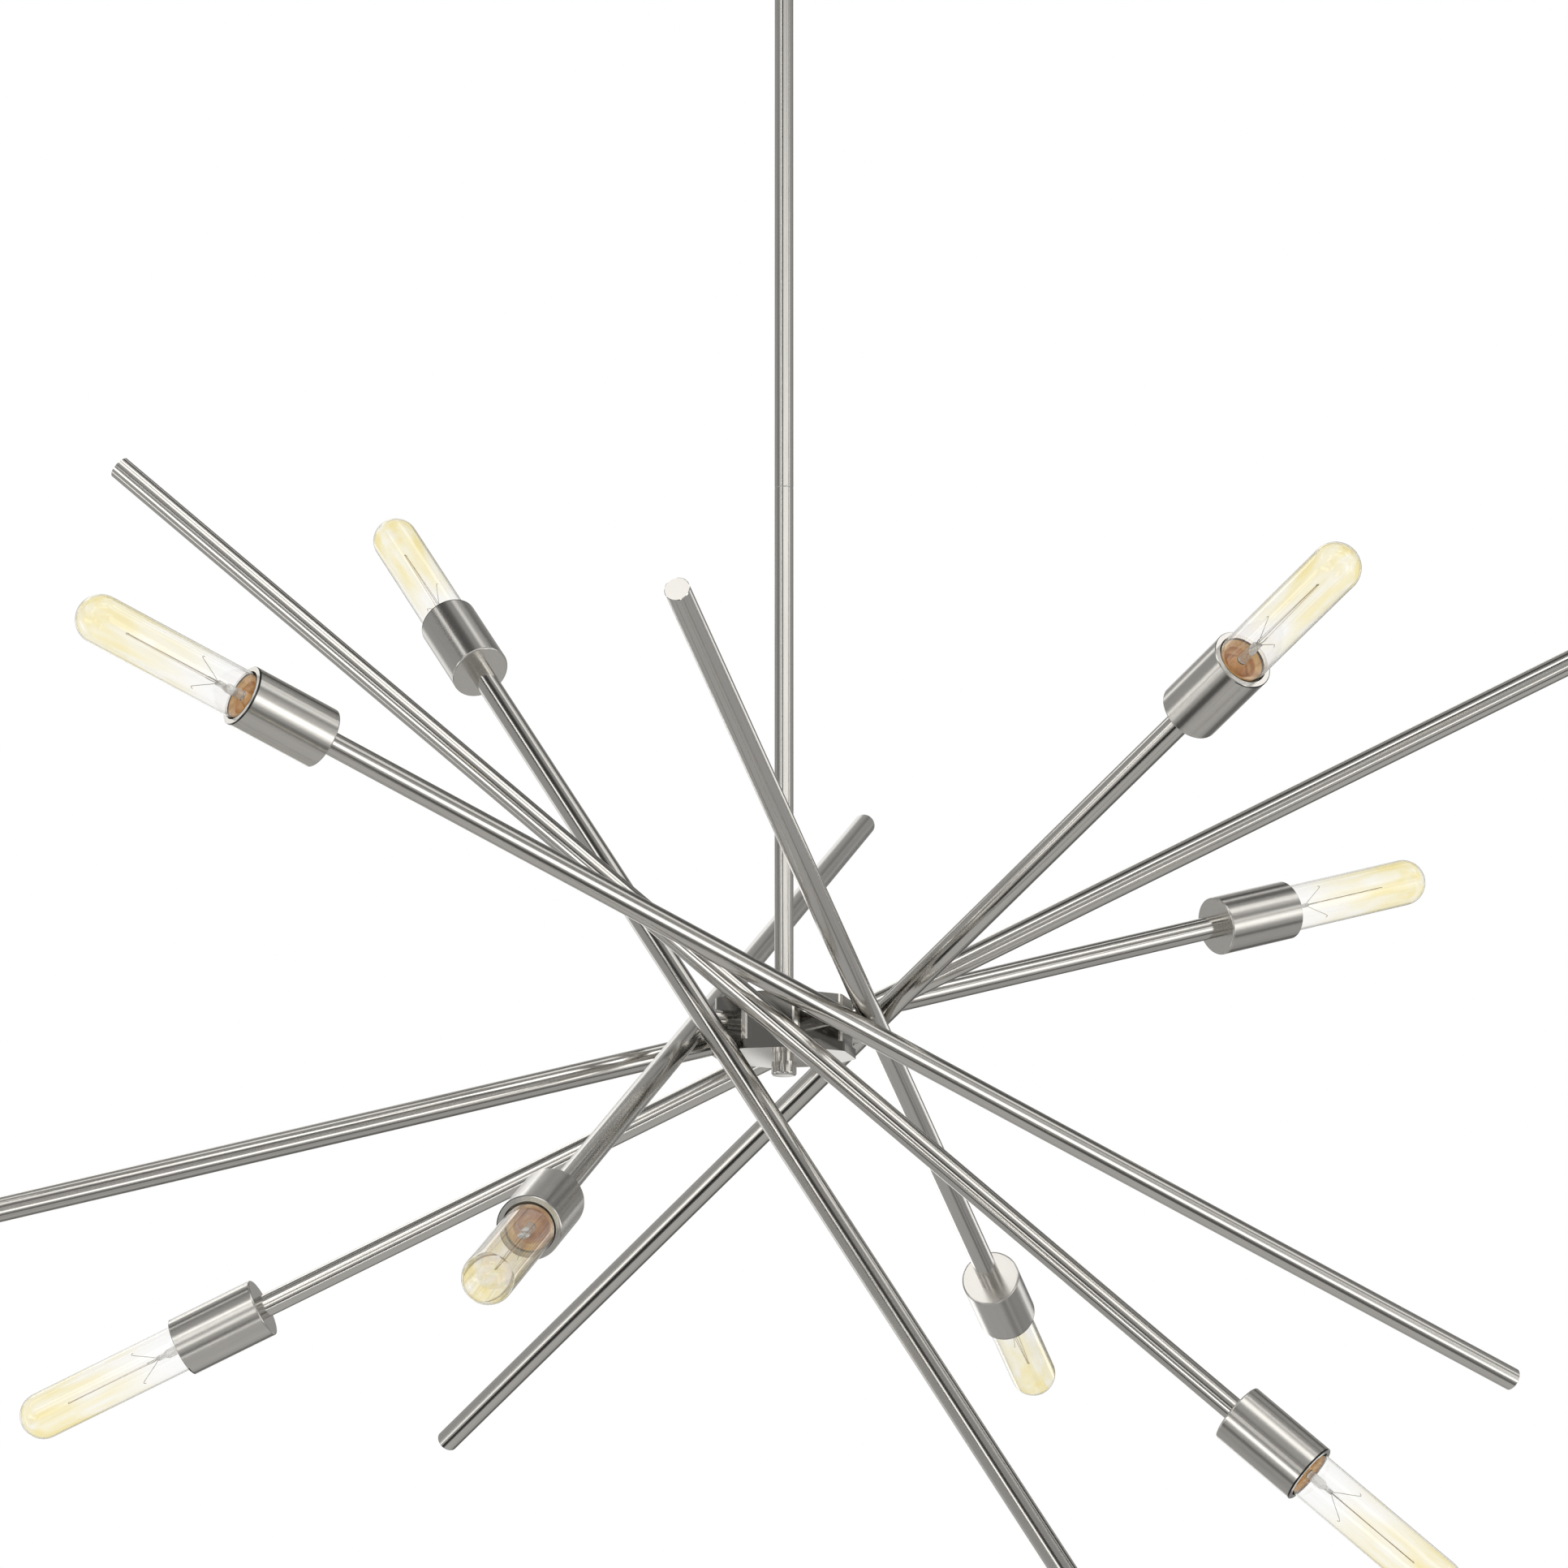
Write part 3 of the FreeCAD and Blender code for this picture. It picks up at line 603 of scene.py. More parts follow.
class StudioSettings(PropertyGroup):
    """The camera at the photograph's angle and the studio round the light."""

    azimuth: FloatProperty(name="Camera azimuth", description="Bearing of the camera, 0 looks along +Y",
                           default=math.radians(12.619), subtype="ANGLE")
    elevation: FloatProperty(name="Camera elevation", description="Height of the camera over the pivots",
                             default=math.radians(-8.9035), subtype="ANGLE")
    pitch: FloatProperty(name="Camera pitch", description="How far the camera looks up from level",
                         default=math.radians(10.67), subtype="ANGLE")
    distance: FloatProperty(name="Camera distance", description="Distance from the camera to the hub",
                            default=5.2232, min=0.1, unit="LENGTH")
    lens: FloatProperty(name="Focal length", description="Focal length in millimetres on a 36 mm sensor",
                        default=180.44, min=1.0)
    floor_drop: FloatProperty(name="Floor drop", description="Distance from the ceiling plane to the floor",
                              default=2.4, min=0.5, unit="LENGTH")
    floor_colour: FloatVectorProperty(name="Floor", description="Colour of the pale floor", subtype="COLOR",
                                      default=(0.86, 0.86, 0.85), min=0.0, max=1.0)
    room_level: FloatProperty(name="Room level", description="Brightness of the room between its boxes",
                              default=0.38, min=0.0)


class ChandelierSettings(PropertyGroup):
    """All settings of the chandelier and its studio."""

    nickel: PointerProperty(type=NickelSettings, name="Nickel")
    tint: PointerProperty(type=TintSettings, name="Tint")
    lamp: PointerProperty(type=LampSettings, name="Lamp")
    studio: PointerProperty(type=StudioSettings, name="Studio")


def settings():
    """The scene's chandelier settings."""
    return bpy.context.scene.chandelier


UPRIGHT = np.eye(3)
STEM_TOP = np.zeros(3)
HUB_CENTRE = np.array([0.0, 0.0, frame["joints"][0]["pos_m"][2]])
CORNER_WIDTH = 0.5 * MM         # the painted highlight on the hub's corners: its width and its tone
CORNER_HIGHLIGHT_TONE = 1.5
LIP_WIDTH = 0.7 * MM            # the painted dark reflection on a cup's rounded mouth: its width, depth and tone
LIP_DEPTH = 1.2 * MM
LIP_PAINTED_TONE = 0.08
HUB_GRAIN = 1.5                 # width of the brush lines against the rods'
CUP_GRAIN = 1.6


# ---------------------------------------------------------------- the fixed pieces

class CHANDELIER_OT_ceiling(Operator):
    """Finish the strap, its fasteners, the canopy and its collar."""

    bl_idname = "chandelier.ceiling"
    bl_label = "Ceiling fittings"

    def execute(self, context):
        nickel = settings().nickel
        satin = turned_nickel("canopy_nickel", nickel, STEM_TOP, nickel.rod_roughness)
        zinc = speckled("zinc_plate", ZINC)
        for node in ("canopy", "canopy_collar"):
            dress_node(node, satin)
        for node in ("ceiling_strap", "strap_fasteners", "stem_threads", "hub_thread", "hub_nuts"):
            dress_node(node, zinc)
        return {"FINISHED"}


class CHANDELIER_OT_stem(Operator):
    """Finish the two stem sections with upright brush lines."""

    bl_idname = "chandelier.stem"
    bl_label = "Stem"

    def execute(self, context):
        nickel = settings().nickel
        brushed = brushed_nickel("stem_nickel", nickel, STEM_TOP, UPRIGHT, nickel.rod_roughness)
        for node in ("stem_tube_upper", "stem_tube_lower"):
            dress_node(node, brushed)
        return {"FINISHED"}


class CHANDELIER_OT_hub(Operator):
    """Finish the hub's walls, its pan and the finial."""

    bl_idname = "chandelier.hub"
    bl_label = "Hub"

    def execute(self, context):
        nickel = settings().nickel
        corner = np.hypot(*vertices_of("hub_shell")[:, :2].T).max()
        # Painted highlight on the hub's corners, and painted shade on its walls and pan rim.
        painted_corner_highlight = (corner - CORNER_WIDTH, -corner, CORNER_HIGHLIGHT_TONE)
        walls = brushed_nickel("hub_nickel", nickel, HUB_CENTRE, UPRIGHT, nickel.hub_roughness, HUB_GRAIN,
                               nickel.hub_painted_shade, painted_corner_highlight)
        pan = brushed_nickel("pan_nickel", nickel, HUB_CENTRE, UPRIGHT, nickel.hub_roughness, HUB_GRAIN,
                             nickel.hub_painted_shade)
        turned = turned_nickel("finial_nickel", nickel, HUB_CENTRE, nickel.hub_roughness)
        dress_node("hub_shell", walls)
        dress_node("hub_pan", pan)
        dress_node("finial", turned)
        return {"FINISHED"}


# ---------------------------------------------------------------- the arms

class CHANDELIER_OT_arms(Operator):
    """Finish the tubes, end caps, pivots and cups, with brush lines along each arm."""

    bl_idname = "chandelier.arms"
    bl_label = "Arms and cups"

    def execute(self, context):
        nickel = settings().nickel
        for lamp in LAMPS:
            rod = brushed_nickel("rod_nickel_%d" % lamp.number, nickel, lamp.place, lamp.turn,
                                 nickel.rod_roughness)
            # Painted dark reflection on each cup's rounded lip.
            painted_dark_lip = (lamp.cup_radius - LIP_WIDTH, lamp.mouth - LIP_DEPTH, LIP_PAINTED_TONE)
            cup = brushed_nickel("cup_nickel_%d" % lamp.number, nickel, lamp.place, lamp.turn,
                                 nickel.cup_roughness, CUP_GRAIN, painted_edge=painted_dark_lip)
            dress_node("arm_%d_tube" % lamp.number, rod)
            dress_node("arm_%d_fittings" % lamp.number, rod)
            dress_node("arm_%d_cup" % lamp.number, cup)
        return {"FINISHED"}


# ---------------------------------------------------------------- sockets and caps

PLAY = 0.05 * MM                # all round the bulb's cap, and all round the socket's screw shell
CAP_SHEET = 0.35 * MM
SHELL_SHEET = 0.5 * MM
SHELL_LENGTH = 22 * MM
SHELL_FOOT = 1.5 * MM           # the least height of the screw shell over the socket's floor
CONTACT_HEIGHT = 1.2 * MM
CONTACT_EDGE = 0.3 * MM
SOCKET_EDGE = 0.6 * MM
THREAD_HOLE = 4.95 * MM         # radius of the hole for the hollow lamp thread
THREAD_FOOT = 6 * MM            # from the bulb's contact to the start of its thread
THREAD_END = 0.5 * MM           # from the end of the thread to the foot of the glass
BUTTON_RADIUS = 4.75 * MM
BUTTON_HEIGHT = 1.4 * MM
CAP_FOOT = 5.5 * MM             # from the bulb's contact to the foot of the cap's sheet
DISC_HEIGHT = 1.2 * MM
COAT = 0.15 * MM                # thickness of the coat in the bulb's neck


def threaded_sheet(low, high, radius, wall, pitch, depth, window, steps=72, rows_per_pitch=12):
    """A sheet-metal tube with a rolled thread: r = radius - depth f (1 - cos(a - 2 pi z / pitch)) / 2.

    f is 1 inside the window of heights and fades to 0 over half a pitch at its ends. The sheet is closed:
    outer side, rim, inner side and lower rim. Returns points, faces and UV.
    """
    rows = int((high - low) / pitch * rows_per_pitch) + 2
    height = np.linspace(low, high, rows)
    angle = np.linspace(0, 2 * np.pi, steps, endpoint=False)
    fade = np.clip(np.minimum(height - window[0], window[1] - height) / (pitch / 2), 0, 1)[:, None]
    wave = (1 - np.cos(angle - 2 * np.pi * height[:, None] / pitch)) / 2
    outer = radius - depth * wave * fade
    grid_radius = np.vstack([outer, (outer - wall)[::-1]])
    grid_height = np.concatenate([height, height[::-1]])
    points = np.stack([grid_radius * np.cos(angle), grid_radius * np.sin(angle),
                       np.repeat(grid_height[:, None], steps, axis=1)], axis=-1).reshape(-1, 3)
    around = np.arange(steps)
    last = (2 * rows - 1) * steps
    rim = np.stack([last + around, last + (around + 1) % steps, (around + 1) % steps, around], axis=-1)
    closed = np.vstack([strip_faces(2 * rows, steps, True), rim])
    along = np.concatenate([height - low, (high - low) + wall + (high - height[::-1])])
    uv = np.stack([np.tile(angle * radius, 2 * rows), np.repeat(along, steps)], axis=-1)
    return points, [tuple(face) for face in closed], uv


def thread_window(lamp, sizes, inset=0.0):
    """Heights between which the bulb's cap is threaded: from its insulator to the foot of the glass."""
    return lamp.cap_bottom + THREAD_FOOT + inset, lamp.cap_rim - sizes.neck_length - THREAD_END - inset


class CHANDELIER_OT_sockets(Operator):
    """Build each socket: moulded body, threaded brass shell and centre contact."""

    bl_idname = "chandelier.sockets"
    bl_label = "Sockets"

    def execute(self, context):
        sizes = settings().lamp
        moulded = speckled("socket_moulding", MOULDING)
        brass = speckled("socket_brass", BRASS)
        for lamp in LAMPS:
            shell_radius = lamp.cap_radius + PLAY + SHELL_SHEET
            bore = shell_radius + PLAY
            floor = lamp.cap_bottom - CONTACT_HEIGHT
            front, back = lamp.socket_front, lamp.socket_back
            body_profile = rounded_profile(
                [(THREAD_HOLE, back), (lamp.socket_radius, back), (lamp.socket_radius, front), (bore, front),
                 (bore, floor), (THREAD_HOLE, floor), (THREAD_HOLE, back)],
                [SOCKET_EDGE, SOCKET_EDGE, SOCKET_EDGE, 0, 0])
            body = turned_piece(lamp, "arm_%d_socket_body" % lamp.number, [body_profile])
            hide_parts("arm_%d_socket" % lamp.number)
            finish_piece(body, moulded, lamp.body)
            points, faces, uv = threaded_sheet(
                max(front - SHELL_LENGTH, floor + SHELL_FOOT), front - 0.2 * MM, shell_radius, SHELL_SHEET,
                sizes.thread_pitch, sizes.thread_depth, thread_window(lamp, sizes, 1 * MM))
            shell = make_object("arm_%d_screw_shell" % lamp.number, into_place(lamp, points), faces, uv)
            finish_piece(shell, brass, lamp.body)
            contact_top = floor + CONTACT_HEIGHT
            contact_profile = rounded_profile([(0, floor), (shell_radius, floor), (shell_radius, contact_top),
                                               (0, contact_top)], [CONTACT_EDGE, CONTACT_EDGE])
            contact = turned_piece(lamp, "arm_%d_socket_contact" % lamp.number, [contact_profile], 48)
            finish_piece(contact, brass, lamp.body)
        return {"FINISHED"}


class CHANDELIER_OT_bulb_caps(Operator):
    """Build each bulb's screw cap, its insulating disc, its contact and the coppery coat in its neck."""

    bl_idname = "chandelier.bulb_caps"
    bl_label = "Bulb caps"

    def execute(self, context):
        sizes = settings().lamp
        copper = speckled("cap_copper", COPPER)
        coppery = speckled("reflector_coat", COPPERY_COAT)
        disc = speckled("cap_insulator", DARK_DISC)
        for lamp in LAMPS:
            bottom = lamp.cap_bottom
            foot = bottom + CAP_FOOT
            points, faces, uv = threaded_sheet(foot, lamp.cap_rim, lamp.cap_radius, CAP_SHEET,
                                               sizes.thread_pitch, sizes.thread_depth,
                                               thread_window(lamp, sizes))
            shell = make_object("arm_%d_cap_shell" % lamp.number, into_place(lamp, points), faces, uv)
            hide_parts("arm_%d_bulb_cap" % lamp.number)
            finish_piece(shell, copper, lamp.body)
            button_top = bottom + BUTTON_HEIGHT
            inner, disc_top = lamp.cap_radius - CAP_SHEET, foot + DISC_HEIGHT
            disc_profile = rounded_profile([(0, button_top), (BUTTON_RADIUS, button_top), (inner, foot),
                                            (inner, disc_top), (0, disc_top)], [0, 1.0 * MM, 0.2 * MM])
            insulator = turned_piece(lamp, "arm_%d_cap_insulator" % lamp.number, [disc_profile], 64)
            finish_piece(insulator, disc, lamp.body)
            button_profile = rounded_profile([(0, bottom), (BUTTON_RADIUS * 0.8, bottom),
                                              (BUTTON_RADIUS, button_top), (0, button_top)],
                                             [0.9 * MM, 0.2 * MM])
            contact = turned_piece(lamp, "arm_%d_cap_contact" % lamp.number, [button_profile], 48)
            finish_piece(contact, copper, lamp.body)
            coat = turned_piece(lamp, "arm_%d_bulb_reflector" % lamp.number,
                                [reflector_profile(lamp, sizes)], 72)
            finish_piece(coat, coppery, lamp.body)
        return {"FINISHED"}


# ---------------------------------------------------------------- bulbs

FLARE_WALL = 1.15               # upright thickness of the flare's glass, as a share of the wall's
MOUNT_LIFT = 1 * MM             # from the cap's rim to the top of the flare


def neck_profile(lamp, sizes):
    """The bulb's outer line from the foot of its neck to just inside the cup's mouth, as (radius, height)."""
    neck = sizes.neck_diameter / 2
    low = lamp.cap_rim - sizes.neck_length
    shoulder = lamp.mouth - 0.4 * MM
    bend = np.linspace(0, 1, 9)[1:]
    ease = bend * bend * (3 - 2 * bend)
    points = [(neck, low), (neck, low + sizes.neck_length * 0.5), (neck, lamp.cap_rim)]
    points += [(neck + (lamp.bulb_radius - neck) * e, lamp.cap_rim + (shoulder - lamp.cap_rim) * b)
               for b, e in zip(bend, ease)]
    return points


def dome(radius, top, steps=18):
    """A quarter circle that ends on the axis at the height top: r = R cos a, h = top - R + R sin a."""
    angle = np.linspace(0, np.pi / 2, steps + 1)[1:]
    points = np.stack([radius * np.cos(angle), top - radius + radius * np.sin(angle)], axis=-1)
    points[-1, 0] = 0.0
    return [tuple(point) for point in points]


def flare_line(lamp, sizes, inset, lift, steps=14):
    """The trumpet that joins the neck's foot to the mount, as (radius, height) from the foot upwards.

    With s from 0 to 1, the radius falls as s^0.75 from the neck's less the inset to the mount's, and the
    height rises as s^1.5 from the neck's foot to just over the cap's rim. lift raises the whole line.
    """
    s = np.linspace(0, 1, steps)
    foot = sizes.neck_diameter / 2 - inset
    top = sizes.mount_diameter / 2
    low = lamp.cap_rim - sizes.neck_length
    rise = sizes.neck_length + MOUNT_LIFT
    return list(zip(foot + (top - foot) * s ** 0.75, low + lift + rise * s ** 1.5))


def bulb_profiles(lamp, sizes):
    """The outer skin and the inner skin of a bulb's glass, both closed on the axis.

    The outer skin climbs the underside of the flare, turns at the sealed neck and follows the wall to the
    tip. The inner skin comes back one wall thickness inside it.
    """
    wall = sizes.glass_wall
    line = neck_profile(lamp, sizes)
    heights = np.linspace(lamp.mouth + 4 * MM, lamp.tip - lamp.bulb_radius, 12)
    straight = [(lamp.bulb_radius, h) for h in heights]
    under = flare_line(lamp, sizes, wall * 0.6, 0.0)
    over = flare_line(lamp, sizes, wall, wall * FLARE_WALL)
    outer = [(0.0, under[-1][1])] + under[::-1] + line + straight + dome(lamp.bulb_radius, lamp.tip)
    inner = dome(lamp.bulb_radius - wall, lamp.tip - wall)[::-1]
    inner += [(lamp.bulb_radius - wall, h) for _, h in straight[::-1]]
    inner += [(r - wall, h) for r, h in line[:0:-1]] + over + [(0.0, over[-1][1])]
    return np.array(outer), np.array(inner)


def reflector_profile(lamp, sizes):
    """A thin coat on the inside of the flare and of the neck, as a closed loop of (radius, height)."""
    inset = sizes.glass_wall + COAT
    lift = sizes.glass_wall * FLARE_WALL + COAT
    flare = flare_line(lamp, sizes, inset + COAT, lift)
    neck = [(r - inset, h) for r, h in neck_profile(lamp, sizes)[2:]]
    near = flare[::-1] + neck
    far = [(r - COAT * 1.3, h) for r, h in neck[::-1]] + [(r, h + COAT * 1.5) for r, h in flare]
    return np.array(near + far + near[:1])


def press_arrays(low, high, radius, steps=40, rows=40):
    """The glass mount: a round stem that flattens towards its top, closed at both ends.

    With s from 0 to 1 up the mount, x = R w(s) e(s) cos a and y = R (1 - f(s)) e(s) sin a: w widens the top
    by a fifth, f thins it by half over the last third, and e rounds both ends.
    """
    s = np.linspace(0, 1, rows)
    flat = np.clip((s - 0.55) / 0.2, 0, 1)
    flat = flat * flat * (3 - 2 * flat)
    near_end = np.minimum(s, 1 - s) * (high - low)
    ends = np.sqrt(np.clip(1 - (1 - np.clip(near_end / (0.9 * MM), 0, 1)) ** 2, 0, 1))
    wide = radius * (1 + 0.22 * flat) * ends
    thin = radius * (1 - 0.48 * flat) * ends
    angle = np.linspace(0, 2 * np.pi, steps, endpoint=False)
    height = low + (high - low) * s
    inside = slice(1, rows - 1)
    points = np.stack([wide[inside, None] * np.cos(angle), thin[inside, None] * np.sin(angle),
                       np.repeat(height[inside, None], steps, axis=1)], axis=-1).reshape(-1, 3)
    faces = [tuple(face) for face in strip_faces(rows - 2, steps, True)]
    bottom, top = len(points), len(points) + 1
    points = np.vstack([points, [0, 0, low], [0, 0, high]])
    around = np.arange(steps)
    last = (rows - 3) * steps
    beyond = (around + 1) % steps
    for near, far, pole in ((beyond, around, bottom), (last + around, last + beyond, top)):
        faces += [tuple(face) for face in np.stack([near, far, np.full(steps, pole)], axis=-1)]
    uv = np.stack([np.tile(angle * radius, rows - 2), np.repeat(height[inside] - low, steps)], axis=-1)
    uv = np.vstack([uv, [0, 0], [0, high - low]])
    return points, faces, uv


class CHANDELIER_OT_bulbs(Operator):
    """Build each bulb's tinted glass with its inner and outer skins, and the glass mount."""

    bl_idname = "chandelier.bulbs"
    bl_label = "Bulb glass"

    def execute(self, context):
        sizes = settings().lamp
        clear = mount_glass_material()
        for lamp in LAMPS:
            outer, inner = bulb_profiles(lamp, sizes)
            envelope = turned_piece(lamp, "arm_%d_bulb_envelope" % lamp.number, [outer, inner],
                                    heights=(lamp.mouth, lamp.tip))
            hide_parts("arm_%d_bulb_glass" % lamp.number)
            amber = bulb_glass_material("amber_glass_%d" % lamp.number, settings().tint, lamp)
            finish_piece(envelope, amber, lamp.body)
            low = lamp.cap_rim + MOUNT_LIFT + sizes.glass_wall * 1.2
            points, faces, uv = press_arrays(low, lamp.mouth + sizes.mount_reach, sizes.mount_diameter / 2)
            mount = make_object("arm_%d_glass_mount" % lamp.number, into_place(lamp, points), faces, uv)
            finish_piece(mount, clear, lamp.body)
        return {"FINISHED"}


WIRE_ROOT = 2 * MM              # how deep the wires start inside the mount
COIL_FOOT = 6 * MM              # from the mount's top to the foot of the filament's legs
COIL_TOP = 1.0 * MM             # from the top hook down to the top of the legs
LEG_SPREAD = 0.55 * MM          # distance of the legs from the axis at the top
FINE_WIRE = 0.36                # radius of the supports and the hook, as a share of the wire's diameter


def coil_path(start, end, diameter, pitch, steps_per_turn=9):
    """A fine coil about the straight line from start to end, one turn per pitch.

    Its points are p + r (n cos a + b sin a), with n and b square to the line and to each other.
    """
    start, end = np.asarray(start, float), np.asarray(end, float)
    length = np.linalg.norm(end - start)
    along = (end - start) / length
    normal = np.cross(along, [0.0, 1.0, 0.0])
    normal /= np.linalg.norm(normal)
    side = np.cross(along, normal)
    turns = int(length / pitch)
    count = turns * steps_per_turn + 1
    share = np.linspace(0, 1, count)[:, None]
    angle = np.linspace(0, 2 * np.pi * turns, count)[:, None]
    return start + (end - start) * share + diameter / 2 * (normal * np.cos(angle) + side * np.sin(angle))


def lead_wire(side, half_gap, press):
    """From inside the mount out to the foot of one leg of the filament. press is the mount's top."""
    foot = press + COIL_FOOT
    return smooth_path([(side * half_gap * 0.55, 0, press - WIRE_ROOT), (side * half_gap * 0.6, 0, press),
                        (side * half_gap * 1.05, 0, press + COIL_FOOT / 2), (side * half_gap, 0, foot),
                        (side * half_gap * 0.9, 0, foot + 1.5 * MM)])


def support_wire(side, spread, height, press):
    """From inside the mount out to a tip at the given spread and height, which ends in a small hook."""
    x, y = side * 0.6 * MM, side * spread
    return smooth_path([(side * 0.5 * MM, side * 0.6 * MM, press - WIRE_ROOT),
                        (side * 0.5 * MM, side * 0.9 * MM, press),
                        (x, side * 3.2 * MM, press + 3.5 * MM), (x, y, height),
                        (x, y + side * 1.3 * MM, height + 0.9 * MM),
                        (x, y + side * 1.9 * MM, height - 0.4 * MM)])


def hook_wire(hook, press):
    """From inside the mount up between the legs to an eye round the filament's bend.

    The eye is an arc of 270 degrees: x = R cos a, y = d cos(a / 2), z = hook + R sin a.
    """
    eye = LEG_SPREAD * 1.7
    angles = np.linspace(-0.25 * np.pi, 1.25 * np.pi, 20)
    arc = [(eye * math.cos(a), 0.3 * MM * math.cos(a / 2), hook + eye * math.sin(a)) for a in angles]
    y = 0.35 * MM
    upright = [(0, y, press - WIRE_ROOT), (0, y, press), (0, y, (press + hook) / 2),
               (0.1 * MM, y, hook - 2.5 * MM)]
    return smooth_path(upright + arc, 8)


class CHANDELIER_OT_filaments(Operator):
    """Build each bulb's coiled hairpin filament with its lead wires, side supports and top hook."""

    bl_idname = "chandelier.filaments"
    bl_label = "Filaments"

    def execute(self, context):
        sizes = settings().lamp
        tungsten = speckled("tungsten", TUNGSTEN)
        wire_metal = speckled("lead_wire", LEAD_WIRE)
        half_gap = sizes.filament_gap / 2
        lead_radius, fine_radius = sizes.wire_diameter / 2, sizes.wire_diameter * FINE_WIRE
        for lamp in LAMPS:
            press = lamp.mouth + sizes.mount_reach
            hook = lamp.mouth + sizes.hook_reach
            coils, wires, radii = [], [], []
            for side in (-1, 1):
                coils.append(coil_path((side * half_gap, 0, press + COIL_FOOT),
                                       (side * LEG_SPREAD, 0, hook - COIL_TOP),
                                       sizes.coil_diameter, sizes.coil_pitch))
                wires += [lead_wire(side, half_gap, press),
                          support_wire(side, sizes.support_spread, lamp.mouth + sizes.support_reach, press)]
                radii += [lead_radius, fine_radius]
            wires.append(hook_wire(hook, press))
            radii.append(fine_radius)
            filament = wires_piece(lamp, "arm_%d_filament" % lamp.number, coils, [sizes.coil_wire / 2] * 2, 6)
            finish_piece(filament, tungsten, lamp.body)
            held = wires_piece(lamp, "arm_%d_mount_wires" % lamp.number, wires, radii)
            finish_piece(held, wire_metal, lamp.body)
        return {"FINISHED"}


# ---------------------------------------------------------------- the studio

# What the metal mirrors, as seen from the hub: bearing from the camera in degrees with the photograph's
# right as positive, height over level, half width, half height and turn clockwise, all in degrees, and
# brightness. They were set from where each rod's and cup's light and dark bands lie.
Card = namedtuple("Card", "bearing height half_width half_height turn level")
CARD_EDGE = (0.86, 1.06)                # a card fades out between these shares of its half size
ROOM_COLOUR = (1.0, 0.992, 0.975, 1.0)
LIGHT_BOXES = [
    Card(-174, 11, 9, 25, 0, 1.0),      # the backdrop's lit side
    Card(-166, -8, 4, 6, 0, 1.8),
    Card(-163, 37, 8, 6, 0, 1.8),
    Card(-147, 3, 11, 7, 0, 1.1),
    Card(0, -88, 40, 40, 0, 0.55),      # the lit floor
    Card(13, 46, 18, 8, -8, 1.8),       # overhead, left and right
    Card(42, 63, 13, 5, -12, 2.3),
    Card(63, 46, 4, 8, 0, 2.6),
    Card(52, -13, 7, 19, 16, 2.3),      # tall box to the right
    Card(70, -8, 5, 12, -18, 2.1),
    Card(82, 31, 13, 6, -22, 1.2),
    Card(104, 49, 9, 2.5, -5, 1.0),
    Card(138, 69, 5, 13, -12, 1.3),
    Card(148, 3, 4.5, 6, 0, 1.4),
    Card(77, -12, 3.5, 10, -25, 1.2),
    Card(-54, -12, 20, 6.5, -28, 2.6),  # low boxes to the left
    Card(-33, 26, 5, 11, -31, 2.5),
    Card(-30, 7, 4, 9, -20, 2.3),
    Card(-19, -14, 4, 9, -20, 2.0),
    Card(6, -41, 3.5, 13, -28, 2.2),
    Card(14, 12, 24, 4, 0, 1.4),        # front fill
    Card(56, 12, 21, 4, 0, 1.4),
    Card(-43, 12, 9, 4, 0, 0.8),
    Card(-98, -16, 4, 15, -8, 2.0),     # side strips
    Card(-81, 42, 3.2, 12, 30, 2.2),
    Card(-90, 71, 3.5, 4, 0, 1.0),
    Card(-142, 44, 6, 6, 0, 2.0),
    Card(-132, 27, 5, 6, 0, 1.7),       # small boxes for the cups' lips and backs
    Card(86, 46, 6, 6, 0, 2.0),
    Card(-27, 41, 7, 6, 0, 1.9),
]
BLACK_CARDS = [
    Card(-78, 64, 6, 18, 27, 0.04),     # behind the left boxes
    Card(-93, 44, 4, 12, 27, 0.03),
    Card(-61, 50, 8, 4, 0, 0.06),
    Card(-96, 55, 5, 4, 0, 0.06),
    Card(-76, 12, 10, 4, 0, 0.2),
    Card(-102, -50, 10, 9, 0, 0.02),
    Card(-74, -34, 9, 3.5, -12, 0.03),
    Card(-19, 17, 8, 5.5, 0, 0.03),     # round the camera
    Card(-33, -7, 11, 2.5, -47, 0.0),
    Card(-11, -48, 5, 15, -28, 0.0),
    Card(49, -55, 8, 13, 5, 0.10),
    Card(58, 30, 4, 8, 0, 0.1),         # beside the right boxes
    Card(66, 19, 3, 4, 0, 0.2),
    Card(112, 64, 11, 6, 0, 0.05),
    Card(114, 43, 15, 4.5, 0, 0.08),
    Card(145, 46, 6, 6, 0, 0.03),
    Card(88, -32, 13, 4, 15, 0.10),
    Card(143, -20, 3, 12, 0, 0.15),     # at the backdrop's edge
    Card(150, -38, 6, 4, 0, 0.2),
    Card(143, 28, 3, 13, 0, 0.03),
    Card(161, 60, 6, 10, 0, 0.05),
    Card(160, 35, 6, 6, 0, 0.25),
    Card(165, -21, 9, 14, 0, 0.15),
    Card(161, 8, 8, 7, 0, 0.2),
    Card(137, 12, 5, 8, 0, 0.15),
    Card(60, 12, 4, 3.5, 0, 0.12),
    Card(64, 60, 6, 3.5, 0, 0.2),
    Card(-24, 9, 4, 3.5, 0, 0.1),       # what the hub's front wall mirrors
]


